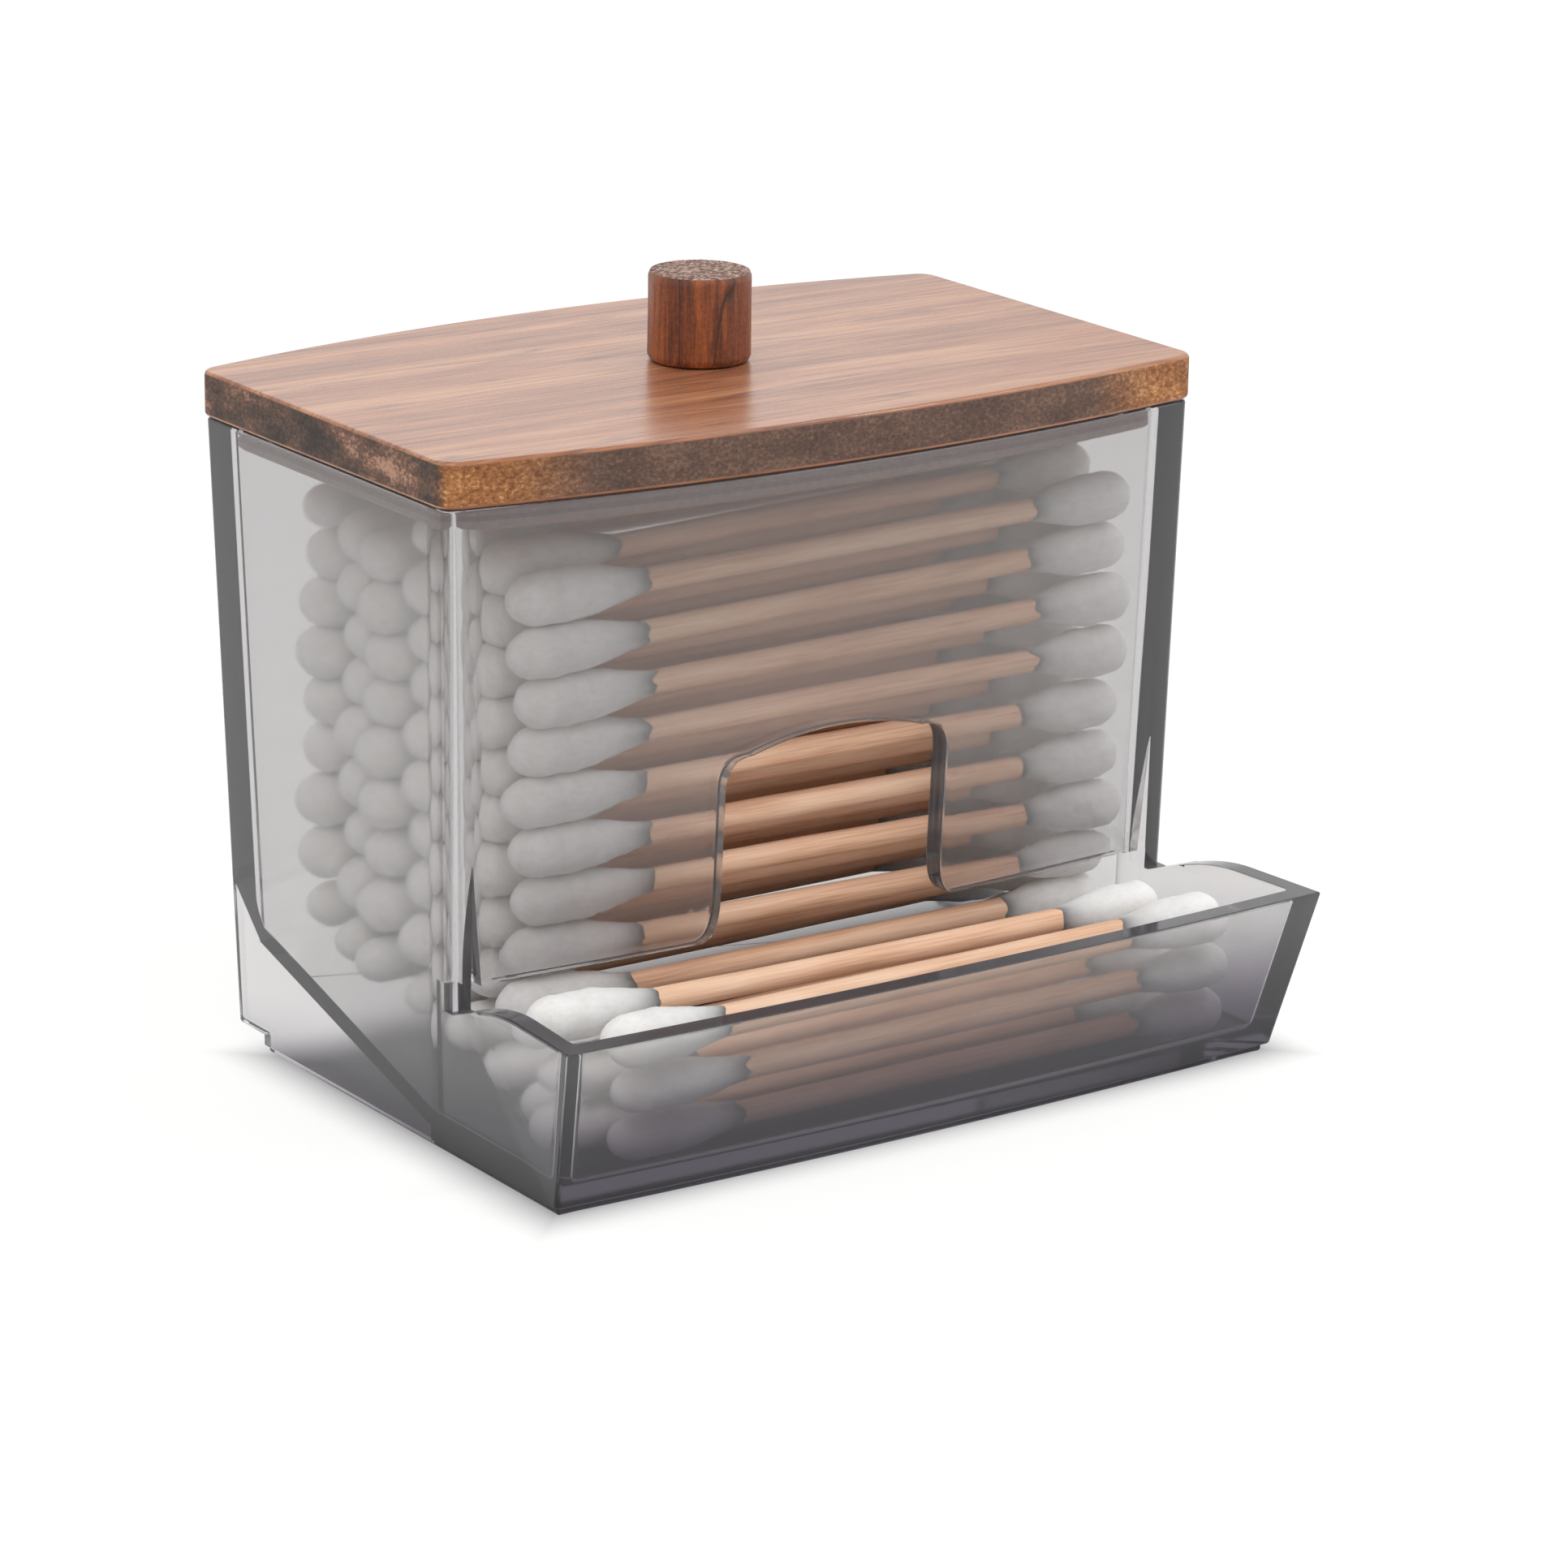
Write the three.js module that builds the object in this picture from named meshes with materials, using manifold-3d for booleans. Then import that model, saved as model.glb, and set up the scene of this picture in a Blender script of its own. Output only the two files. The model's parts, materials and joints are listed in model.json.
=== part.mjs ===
// Cotton swab dispenser: a smoke tinted hopper and tray in one moulding, a lid that lifts off, and swabs
// Millimetres. +X runs along the swabs, to the right of someone facing the tray, -Y is the front, +Z is up.
// Outlines are drawn from the rim's front corner line, and the whole is then centred on its footprint.
import * as THREE from "three";
import { mergeVertices } from "three/addons/utils/BufferGeometryUtils.js";
import Module from "manifold-3d";

const wasm = await Module();
wasm.setup();

// Swab: a wooden stick with a cotton bud on both ends
const swabLength = 75;
const stickDiameter = 2.4;
const budDiameter = 5;
const budLength = 13;
const budLengthShares = [0.03, 0.12, 0.3, 0.62, 1];
const budRadiusShares = [0.55, 0.9, 1, 0.86, 0];

// Hopper: outer sizes at the rim, what each face draws in by on the way to the base, and the long faces' bow.
// It is as wide inside as a swab and the room at both of its ends.
const swabRoom = 5;
const rimDepth = 46;
const rimHeight = 65.6;
const sideDraft = 1;
const frontDraft = 1.1;
const backDraft = 3.2;
const rimFrontBow = 4;
const rimBackBow = 5.5;
const baseBow = 1.1;
const hopperCorner = 1.1;
const hopperInnerCorner = 0.8;
const wall = 2.5;
const rimWidth = swabLength + 2 * (swabRoom + wall);

// Sloping floor: it leaves the tray floor at its foot, rises to the crease and turns up into the back wall
const slopeFootY = 4;
const creaseInset = 7.6;
const creaseZ = 13;
const floorThickness = 1.8;
const bevelAngle = THREE.MathUtils.degToRad(48);

// Space under the slope, open at the back and below, between the two cheeks
const voidFrontY = 6;
const cheekWall = 2.3;
const heelInset = 8.6;
const heelRise = 1.9;

// Foot: the part of the base that touches the table, set in from the walls
const footHeight = 0.9;
const footInset = 0.6;

// Tray: its front leans out, its sides flare, and its side rims dip towards the hopper
const trayFloor = 3;
const trayRimHeight = 18.4;
const trayBaseReach = 18.2;
const trayRimReach = 23.2;
const trayFlare = 1.7;
const trayBow = 1.2;
const trayBaseCorner = 1.8;
const trayRimCorner = 0.8;
const trayInnerBaseCorner = 2;
const trayInnerRimCorner = 0.7;
const rimDipHeight = 15.2;
const rimDipLength = 13;

// Front wall: where it ends above the tray, the finger notch in it, and the relief beside each side wall
const outletTop = 17.4;
const notchWidth = 27;
const notchTop = 38.2;
const notchArch = 1.6;
const notchCorner = 3.2;
const notchFlare = 2.4;
const reliefWidth = 1.7;
const reliefHeight = 12.4;

// Lid: a board with a raised panel under it that fits the hopper's mouth
const lidThickness = 4.7;
const lidOverhang = 0.4;
const lidCorner = 2.2;
const lidEase = 0.5;
const lidSeat = 0.2;
const plugHeight = 3.4;
const plugGap = 1.6;
const plugEase = 0.4;
const sealHeight = 2.4;
const sealDrop = 0.4;
const sealClearance = 0.3;
const sealSnug = 0.25;

// Knob: a short length of dowel, held by a countersunk screw from below
const knobDiameter = 10.7;
const knobHeight = 9.4;
const knobEase = 0.5;
const knobSeat = 0.05;
const screwDiameter = 3;
const screwHeadDiameter = 6.4;
const screwHeadDepth = 1.9;
const screwGrip = 7;
const screwPoint = 1.6;
const screwClearance = 0.3;
const driveWidth = 0.9;
const driveLength = 3.6;
const driveDepth = 0.8;

// Pile in the hopper: upright stacks on the slope, one behind the other, filled from the bottom up.
// Each swab of the paired stack clings to the one in front of it, and the squeeze is how far their
// buds press into each other: such a pair is one piece.
// Shifts are shares of the play that a swab has to either side. The rise is how far an end goes up or down
// as the stick tilts, in waves up the stack, and the sweep is how far it goes forward or back.
const pilePieceCount = 48;
const stackGap = 1.5;
const pairSqueeze = 0.6;
const pairedStack = 5;
const layerGap = 0.4;
const pileBackRoom = 0.6;
const pileHeadroom = 0.5;
const pileRest = 0.2;
const pileShiftShares = { front: 0.65, back: -0.2, jitter: 0.17 };
const pileRise = 0.72;
const pileRiseWave = 62;
const pileSweep = 0.3;

// Swabs in the tray: rows from the floor up, and columns back from the front wall that they lean on.
// A share of 1 is one row, one column, the whole play to the right or the whole sweep of the right end back.
const trayRest = 0.25;
const trayRowGap = 0.4;
const trayColumnGap = 0.6;
const traySweep = 1.1;
const traySwabShares = [
  { name: "bottom_front", row: 0, column: 0, shift: 0.3, turn: 0 },
  { name: "bottom_middle", row: 0, column: 1, shift: -0.4, turn: 0.15 },
  { name: "bottom_back", row: 0, column: 2, shift: 0.35, turn: -0.15 },
  { name: "middle_front", row: 1, column: 0, shift: 0.15, turn: 0 },
  { name: "middle_back", row: 1, column: 1.15, shift: -0.25, turn: -0.2 },
  { name: "top_front", row: 2, column: 0, shift: -0.2, turn: 0 },
  { name: "top_back", row: 2, column: 1.3, shift: -1, turn: -1 },
];

// Fineness of the curves, and how far cutting shapes run past what they cut
const bowSteps = 16;
const cornerSteps = 6;
const roundSteps = 32;
const swabSides = 8;
const dipSteps = 8;
const overrun = 2;

const creaseY = rimDepth - creaseInset;
const heelY = rimDepth - heelInset;
const slopeTan = (creaseZ - trayFloor) / (creaseY - slopeFootY);
const bevelTan = Math.tan(bevelAngle);
const lidBottom = rimHeight + lidSeat;
const lidTop = lidBottom + lidThickness;
const plugBottom = lidBottom - plugHeight;
const lidMiddleY = (rimDepth + rimBackBow - rimFrontBow) / 2;
const trayLean = Math.atan2(trayRimReach - trayBaseReach, trayRimHeight);
const swabHalf = swabLength / 2;
const swabPlay = swabRoom - sideDraft;
const slopeAngle = Math.atan(slopeTan);
const pairPitch = budDiameter - pairSqueeze;

// Materials

const smokePlastic = new THREE.MeshStandardMaterial({
  color: 0x8b8c90,
  roughness: 0.12,
  metalness: 0,
  transparent: true,
  opacity: 0.4,
});
const lidWood = new THREE.MeshStandardMaterial({ color: 0xb98f74, roughness: 0.35, metalness: 0 });
const knobWood = new THREE.MeshStandardMaterial({ color: 0x7a452b, roughness: 0.5, metalness: 0 });
const sealSilicone = new THREE.MeshStandardMaterial({ color: 0x84868a, roughness: 0.55, metalness: 0 });
const screwSteel = new THREE.MeshStandardMaterial({ color: 0xb9b9b4, roughness: 0.35, metalness: 1 });
const swabMaterial = new THREE.MeshStandardMaterial({ color: 0xe9dfcf, roughness: 0.9, metalness: 0 });

// Solids

function solidFrom(geometry) {
  const plain = geometry.clone();
  plain.deleteAttribute("normal");
  plain.deleteAttribute("uv");
  const merged = mergeVertices(plain);
  return new wasm.Manifold(
    new wasm.Mesh({
      numProp: 3,
      vertProperties: new Float32Array(merged.attributes.position.array),
      triVerts: new Uint32Array(merged.index.array),
    }),
  );
}

function geometryFrom(solid) {
  const mesh = solid.getMesh();
  const geometry = new THREE.BufferGeometry();
  geometry.setAttribute("position", new THREE.BufferAttribute(mesh.vertProperties, 3));
  geometry.setIndex(new THREE.BufferAttribute(mesh.triVerts, 1));
  geometry.computeVertexNormals();
  return geometry;
}

// A solid through closed outlines of equal point count, lowest first, each running anticlockwise from above.
function loft(rings) {
  const count = rings[0].length;
  const positions = rings.flat(2);
  const indices = [];
  for (let level = 0; level + 1 < rings.length; level++) {
    for (let i = 0; i < count; i++) {
      const next = (i + 1) % count;
      const a = level * count + i;
      const b = level * count + next;
      indices.push(a, b, b + count, a, b + count, a + count);
    }
  }
  const caps = [
    { ring: rings[0], first: 0, up: false },
    { ring: rings.at(-1), first: (rings.length - 1) * count, up: true },
  ];
  for (const { ring, first, up } of caps) {
    const middle = positions.length / 3;
    for (let axis = 0; axis < 3; axis++) {
      positions.push(ring.reduce((sum, point) => sum + point[axis], 0) / count);
    }
    for (let i = 0; i < count; i++) {
      const next = (i + 1) % count;
      indices.push(middle, first + (up ? i : next), first + (up ? next : i));
    }
  }
  const geometry = new THREE.BufferGeometry();
  geometry.setAttribute("position", new THREE.Float32BufferAttribute(positions, 3));
  geometry.setIndex(indices);
  return solidFrom(geometry);
}

// One closed outline at height z. Its long sides bow out as parabolas and run smoothly into round corners.
function outline(section, z) {
  const { front, back, frontBow, backBow, frontHalf, backHalf, frontCorner, backCorner } = section;
  const frontRun = bowedEnd(frontHalf, frontBow, frontCorner);
  const backRun = bowedEnd(backHalf, backBow, backCorner);
  const points = [];
  for (let i = 0; i <= bowSteps; i++) {
    const x = frontRun.x * ((2 * i) / bowSteps - 1);
    points.push([x, front - bowAt(x, frontHalf, frontBow), z]);
  }
  addCorner(points, frontRun, frontCorner, front, 1, -1, z);
  for (let i = 0; i <= bowSteps; i++) {
    const x = backRun.x * (1 - (2 * i) / bowSteps);
    points.push([x, back + bowAt(x, backHalf, backBow), z]);
  }
  const left = [];
  addCorner(left, frontRun, frontCorner, front, -1, -1, z);
  const backRight = [];
  addCorner(backRight, backRun, backCorner, back, 1, 1, z);
  const backLeft = [];
  addCorner(backLeft, backRun, backCorner, back, -1, 1, z);
  const frontSide = points.slice(0, bowSteps + 1 + cornerSteps);
  const backSide = points.slice(bowSteps + 1 + cornerSteps);
  return [...frontSide, ...backRight.reverse(), ...backSide, ...backLeft, ...left.reverse()];
}

function bowAt(x, half, bow) {
  return bow * (1 - (x / half) ** 2);
}

// Where a bowed side meets its corner arc, and the direction it has there.
function bowedEnd(half, bow, corner) {
  const x = (half - corner) / (1 - (2 * bow * corner) / half ** 2);
  return { x, half, lean: Math.atan((2 * bow * x) / half ** 2), drop: bowAt(x, half, bow) };
}

// Corner points from the bowed side's end round to the short side, without the end itself.
function addCorner(points, run, corner, edgeY, sideX, sideY, z) {
  const centreX = run.half - corner;
  const centreY = edgeY + sideY * (run.drop - corner * Math.cos(run.lean));
  const start = Math.PI / 2 - run.lean;
  for (let i = 1; i <= cornerSteps; i++) {
    const angle = start * (1 - i / cornerSteps);
    points.push([
      sideX * (centreX + corner * Math.cos(angle)),
      centreY + sideY * corner * Math.sin(angle),
      z,
    ]);
  }
}

// A profile of [y, z] points run along X, centred on X.
function alongX(profile, width) {
  const shape = new THREE.Shape(profile.map(([y, z]) => new THREE.Vector2(y, z)));
  const geometry = new THREE.ExtrudeGeometry(shape, { depth: width, bevelEnabled: false });
  geometry.translate(0, 0, -width / 2);
  geometry.applyMatrix4(
    new THREE.Matrix4().makeBasis(
      new THREE.Vector3(0, 1, 0),
      new THREE.Vector3(0, 0, 1),
      new THREE.Vector3(1, 0, 0),
    ),
  );
  return solidFrom(geometry);
}

// A shape drawn in X and Z, run along Y from the front.
function alongY(shape, frontY, backY) {
  const geometry = new THREE.ExtrudeGeometry(shape, {
    depth: backY - frontY,
    bevelEnabled: false,
    curveSegments: cornerSteps,
  });
  geometry.applyMatrix4(
    new THREE.Matrix4().makeBasis(
      new THREE.Vector3(1, 0, 0),
      new THREE.Vector3(0, 0, 1),
      new THREE.Vector3(0, -1, 0),
    ),
  );
  geometry.translate(0, backY, 0);
  return solidFrom(geometry);
}

// A solid turned about Z from [radius, z] points that start and end on the axis.
function turned(profile) {
  const geometry = new THREE.LatheGeometry(
    profile.map(([radius, z]) => new THREE.Vector2(radius, z)),
    roundSteps,
  );
  geometry.rotateX(Math.PI / 2);
  return geometry;
}

function namedMesh(name, geometry, material) {
  const mesh = new THREE.Mesh(geometry, material.clone());
  mesh.name = name;
  return mesh;
}

// Hopper outline at a height, drawn in on all sides by an inset

function hopperHalf(z) {
  return rimWidth / 2 - (sideDraft * (rimHeight - z)) / rimHeight;
}

function hopperSection(z, inset, corner) {
  const drop = (rimHeight - z) / rimHeight;
  return {
    front: frontDraft * drop + inset,
    back: rimDepth - backDraft * drop - inset,
    frontBow: rimFrontBow + (baseBow - rimFrontBow) * drop,
    backBow: rimBackBow + (baseBow - rimBackBow) * drop,
    frontHalf: hopperHalf(z) - inset,
    backHalf: hopperHalf(z) - inset,
    frontCorner: corner,
    backCorner: corner,
  };
}

function hopperLoft(bottomZ, topZ, inset, corner) {
  return loft([bottomZ, topZ].map((z) => outline(hopperSection(z, inset, corner), z)));
}

// Tray outline at a height. Its back end lies inside the hopper, where the cavity takes it away again.

function traySection(z, inset, baseCorner, rimCorner) {
  const rise = z / trayRimHeight;
  const reach = trayBaseReach + (trayRimReach - trayBaseReach) * rise;
  return {
    front: -reach + inset / Math.cos(trayLean),
    back: slopeFootY + wall,
    frontBow: trayBow,
    backBow: 0,
    frontHalf: hopperHalf(z) + trayFlare * rise - inset,
    backHalf: hopperHalf(z) - inset,
    frontCorner: baseCorner + (rimCorner - baseCorner) * rise,
    backCorner: hopperInnerCorner,
  };
}

function trayLoft(bottomZ, topZ, inset, baseCorner, rimCorner) {
  return loft(
    [bottomZ, topZ].map((z) => outline(traySection(z, inset, baseCorner, rimCorner), z)),
  );
}

// Everything above the tray's rim line, which climbs from the hopper and then runs level
function aboveTrayRim() {
  const far = trayRimReach + trayBow + overrun;
  const profile = [[-far, trayRimHeight]];
  for (let i = 0; i <= dipSteps; i++) {
    const share = 1 - i / dipSteps;
    const rise = (trayRimHeight - rimDipHeight) * Math.sin((share * Math.PI) / 2);
    profile.push([-rimDipLength * share, rimDipHeight + rise]);
  }
  profile.push([slopeFootY + wall + overrun, rimDipHeight]);
  profile.push([slopeFootY + wall + overrun, trayRimHeight + overrun]);
  profile.push([-far, trayRimHeight + overrun]);
  return alongX(profile, rimWidth + 2 * (trayFlare + overrun));
}

// Space above the tray floor, the slope and the bevel behind it
function aboveFloor() {
  const far = rimBackBow + rimDepth + overrun;
  const profile = [
    [-rimDepth, trayFloor],
    [slopeFootY, trayFloor],
    [creaseY, creaseZ],
    [far, creaseZ + (far - creaseY) * bevelTan],
    [far, rimHeight + rimDepth],
    [-rimDepth, rimHeight + rimDepth],
  ];
  return alongX(profile, rimWidth);
}

// Space under the slope, parallel to it at the floor's thickness
function underSlope() {
  const far = rimBackBow + rimDepth + overrun;
  const slopeDrop = floorThickness * Math.hypot(1, slopeTan);
  const bevelDrop = floorThickness * Math.hypot(1, bevelTan);
  const turnY = creaseY + (bevelDrop - slopeDrop) / (bevelTan - slopeTan);
  const slopeZ = (y) => creaseZ + (y - creaseY) * slopeTan - slopeDrop;
  const profile = [
    [voidFrontY, -overrun],
    [far, -overrun],
    [far, creaseZ + (far - creaseY) * bevelTan - bevelDrop],
    [turnY, slopeZ(turnY)],
    [voidFrontY, slopeZ(voidFrontY)],
  ];
  return alongX(profile, 2 * (hopperHalf(0) - cheekWall));
}

// Step behind the foot, where the cheeks stop short of the table
function heelStep() {
  const far = rimBackBow + rimDepth + overrun;
  return alongX(
    [
      [heelY, -overrun],
      [far, -overrun],
      [far, heelRise],
      [heelY, heelRise],
    ],
    rimWidth + 2 * overrun,
  );
}

function foot() {
  const section = {
    front: -trayBaseReach + footInset,
    back: heelY,
    frontBow: trayBow,
    backBow: 0,
    frontHalf: hopperHalf(0) - footInset,
    backHalf: hopperHalf(0) - footInset,
    frontCorner: trayBaseCorner - footInset,
    backCorner: footInset,
  };
  return loft([0, footHeight + footInset].map((z) => outline(section, z)));
}

// Finger notch: upright sides, an arched head and a flared foot at the outlet
function fingerNotch() {
  const half = notchWidth / 2;
  const shoulder = notchTop - notchArch;
  const shape = new THREE.Shape();
  shape.moveTo(-half - notchFlare, outletTop - overrun);
  shape.lineTo(half + notchFlare, outletTop - overrun);
  shape.lineTo(half + notchFlare, outletTop);
  shape.quadraticCurveTo(half, outletTop, half, outletTop + 2 * notchFlare);
  shape.lineTo(half, shoulder - notchCorner);
  shape.quadraticCurveTo(half, shoulder, half - notchCorner, shoulder);
  shape.quadraticCurveTo(0, notchTop + notchArch, notchCorner - half, shoulder);
  shape.quadraticCurveTo(-half, shoulder, -half, shoulder - notchCorner);
  shape.lineTo(-half, outletTop + 2 * notchFlare);
  shape.quadraticCurveTo(-half, outletTop, -half - notchFlare, outletTop);
  return alongY(shape, -rimFrontBow - overrun, frontDraft + wall + overrun);
}

// Wedge between the front wall's lower end and a side wall
function reliefWedge(side) {
  const outer = hopperHalf(outletTop) - wall;
  const shape = new THREE.Shape();
  shape.moveTo(side * outer, outletTop - overrun);
  shape.lineTo(side * outer, outletTop + reliefHeight);
  shape.lineTo(side * (outer - reliefWidth), outletTop);
  shape.lineTo(side * (outer - reliefWidth), outletTop - overrun);
  return alongY(shape, -rimFrontBow - overrun, frontDraft + wall + overrun);
}

// Pieces

function body() {
  const hopperOuter = hopperLoft(footHeight, rimHeight, 0, hopperCorner);
  const trayOuter = trayLoft(footHeight, trayRimHeight + overrun, 0, trayBaseCorner, trayRimCorner)
    .subtract(aboveTrayRim());
  const hopperInner = hopperLoft(-overrun, rimHeight + overrun, wall, hopperInnerCorner)
    .intersect(aboveFloor());
  const trayInner = trayLoft(
    trayFloor,
    trayRimHeight + 2 * overrun,
    wall,
    trayInnerBaseCorner,
    trayInnerRimCorner,
  );
  const belowOutlet = alongX(
    [
      [-rimDepth, 0],
      [rimDepth, 0],
      [rimDepth, outletTop],
      [-rimDepth, outletTop],
    ],
    2 * rimWidth,
  );
  const underFrontWall = trayInner.intersect(belowOutlet).intersect(aboveFloor());
  const solid = hopperOuter
    .add(trayOuter)
    .add(foot())
    .subtract(hopperInner)
    .subtract(trayInner.subtract(hopperOuter))
    .subtract(underFrontWall)
    .subtract(fingerNotch())
    .subtract(reliefWedge(-1))
    .subtract(reliefWedge(1))
    .subtract(underSlope())
    .subtract(heelStep());
  return namedMesh("body", geometryFrom(solid), smokePlastic);
}

function screwHole() {
  const radius = screwDiameter / 2 + screwClearance;
  const headRadius = screwHeadDiameter / 2 + screwClearance;
  const headTop = plugBottom + screwHeadDepth + screwClearance;
  const tip = lidTop + knobSeat + screwGrip + screwClearance;
  return solidFrom(
    turned([
      [0, plugBottom - overrun],
      [headRadius, plugBottom - overrun],
      [headRadius, plugBottom + screwClearance],
      [radius, headTop],
      [radius, tip - screwPoint],
      [0, tip],
    ]).translate(0, lidMiddleY, 0),
  );
}

function lidOutline(z, inset) {
  return outline(hopperSection(rimHeight, inset - lidOverhang, lidCorner - inset), z);
}

function plugOutline(z, inset) {
  return outline(hopperSection(rimHeight, wall + plugGap + inset, hopperInnerCorner), z);
}

function lidBoard() {
  const board = loft([
    lidOutline(lidBottom, lidEase),
    lidOutline(lidBottom + lidEase, 0),
    lidOutline(lidTop - lidEase, 0),
    lidOutline(lidTop, lidEase),
  ]);
  const plug = loft([
    plugOutline(plugBottom, plugEase),
    plugOutline(plugBottom + plugEase, 0),
    plugOutline(lidBottom + lidEase, 0),
  ]);
  return namedMesh("lid_board", geometryFrom(board.add(plug).subtract(screwHole())), lidWood);
}

function sealRing() {
  const top = lidBottom - sealDrop;
  const bottom = top - sealHeight;
  const ringAt = (z, inset) =>
    outline(hopperSection(rimHeight, inset, hopperInnerCorner), z);
  const outer = loft([
    ringAt(bottom, wall + sealClearance),
    ringAt(top, wall + sealClearance),
  ]);
  const inner = loft([
    ringAt(bottom - overrun, wall + plugGap - sealSnug),
    ringAt(top + overrun, wall + plugGap - sealSnug),
  ]);
  return namedMesh("lid_seal_ring", geometryFrom(outer.subtract(inner)), sealSilicone);
}

function knob() {
  const bottom = lidTop + knobSeat;
  const top = bottom + knobHeight;
  const radius = knobDiameter / 2;
  const dowel = turned([
    [0, bottom],
    [radius - knobEase, bottom],
    [radius, bottom + knobEase],
    [radius, top - knobEase],
    [radius - knobEase, top],
    [0, top],
  ]).translate(0, lidMiddleY, 0);
  return namedMesh("knob", geometryFrom(solidFrom(dowel).subtract(screwHole())), knobWood);
}

function knobScrew() {
  const radius = screwDiameter / 2;
  const headRadius = screwHeadDiameter / 2;
  const tip = lidTop + knobSeat + screwGrip;
  const bottom = plugBottom + screwClearance;
  const blank = solidFrom(
    turned([
      [0, bottom],
      [headRadius, bottom],
      [radius, bottom + screwHeadDepth],
      [radius, tip - screwPoint],
      [0, tip],
    ]).translate(0, lidMiddleY, 0),
  );
  const slots = [0, Math.PI / 2].map((angle) =>
    solidFrom(
      new THREE.BoxGeometry(driveLength, driveWidth, 2 * driveDepth)
        .rotateZ(angle)
        .translate(0, lidMiddleY, bottom),
    ),
  );
  const solid = slots.reduce((left, slot) => left.subtract(slot), blank);
  return namedMesh("knob_screw", geometryFrom(solid), screwSteel);
}

// Swab along X, with its middle at the origin
function swabGeometry() {
  const stick = stickDiameter / 2;
  const bud = budDiameter / 2;
  const end = budLengthShares.map((share, i) => {
    const radius = stick + (bud - stick) * budRadiusShares[i];
    return [radius, share * budLength - swabHalf];
  });
  const other = end.map(([radius, along]) => [radius, -along]).reverse();
  const profile = [[0, -swabHalf], ...end, ...other, [0, swabHalf]];
  const geometry = new THREE.LatheGeometry(
    profile.map(([radius, along]) => new THREE.Vector2(radius, along)),
    swabSides,
  );
  return geometry.rotateZ(-Math.PI / 2);
}

// Two swabs side by side on the slope, with the middle of the upper one at the origin
function pairGeometry() {
  const upper = swabGeometry();
  const lower = upper
    .clone()
    .translate(0, -pairPitch * Math.cos(slopeAngle), -pairPitch * Math.sin(slopeAngle));
  return geometryFrom(solidFrom(upper).add(solidFrom(lower)));
}

function swab(name, place, turn, tilt, geometry) {
  const mesh = namedMesh(name, geometry, swabMaterial);
  mesh.position.set(...place);
  mesh.rotation.set(0, -tilt, turn, "ZYX");
  return mesh;
}

// A value between -1 and 1 that differs from swab to swab and is the same each time
function scatter(stack, layer, channel) {
  const turns = stack * Math.SQRT2 + layer * Math.E + channel * Math.LN10;
  return Math.sin(2 * Math.PI * turns);
}

// Where a swab against the front wall has its middle, at a height
function frontRestY(z) {
  const { front, frontHalf, frontBow } = hopperSection(z, wall, hopperInnerCorner);
  const face = front - bowAt(swabHalf, frontHalf, frontBow);
  return face + budDiameter / 2 + pileSweep + pileRest;
}

function slopeRestZ(y) {
  const surface = trayFloor + Math.max(0, y - slopeFootY) * slopeTan;
  return surface + (budDiameter / 2) * Math.hypot(1, slopeTan) + pileRest;
}

// How far a stack stands behind the front one, which is the first
function stackDepth(stack) {
  const stackPitch = budDiameter + stackGap;
  const drawnIn = stackPitch - pairPitch * Math.cos(slopeAngle);
  return (stack - 1) * stackPitch - (stack < pairedStack ? 0 : drawnIn);
}

// Places in the hopper, lowest first
function pilePlaces() {
  const layerPitch = budDiameter + layerGap;
  const room = creaseY - pileBackRoom - frontRestY(trayFloor);
  const ceiling = plugBottom - pileHeadroom - budDiameter / 2;
  const places = [];
  for (let stack = 1; stackDepth(stack) <= room; stack++) {
    const lowest = slopeRestZ(frontRestY(trayFloor) + stackDepth(stack));
    for (let z = lowest, layer = 1; z <= ceiling; z += layerPitch, layer++) {
      places.push({ stack, layer, height: z - lowest, y: frontRestY(z) + stackDepth(stack), z });
    }
  }
  const stackCount = Math.max(...places.map(({ stack }) => stack));
  return places
    .filter(({ stack }) => stack !== pairedStack - 1 || stackCount < pairedStack)
    .map((place) => ({ ...place, share: (place.stack - 1) / (stackCount - 1) }))
    .sort((one, other) => one.z - other.z);
}

function pileSwabs() {
  const { front, back, jitter } = pileShiftShares;
  return pilePlaces().slice(0, pilePieceCount).map(({ stack, layer, share, height, y, z }) => {
    const shift = front + (back - front) * share + jitter * scatter(stack, layer, 0);
    const turn = Math.asin(pileSweep / swabHalf) * scatter(stack, layer, 1);
    const wave = Math.sin((2 * Math.PI * height) / pileRiseWave);
    const tilt = -Math.atan(pileRise / swabHalf) * wave;
    const geometry = stack === pairedStack ? pairGeometry() : swabGeometry();
    return swab(`hopper_swab_${stack}_${layer}`, [shift * swabPlay, y, z], turn, tilt, geometry);
  });
}

// Where a swab that leans on the tray's front wall has its middle, at a height
function trayRestY(z) {
  const section = traySection(z, wall, trayInnerBaseCorner, trayInnerRimCorner);
  const face = section.front - bowAt(swabHalf, section.frontHalf, section.frontBow);
  return face + (budDiameter / 2 + trayRest) / Math.cos(trayLean);
}

function looseSwabs() {
  return traySwabShares.map(({ name, row, column, shift, turn }) => {
    const z = trayFloor + budDiameter / 2 + trayRest + row * (budDiameter + trayRowGap);
    const y = trayRestY(z) + column * (budDiameter + trayColumnGap);
    const angle = turn * Math.asin(traySweep / swabHalf);
    return swab(`tray_swab_${name}`, [shift * swabPlay, y, z], angle, 0, swabGeometry());
  });
}

// Whole object, centred on its footprint between the tray's lip and the lid's back edge

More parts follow.
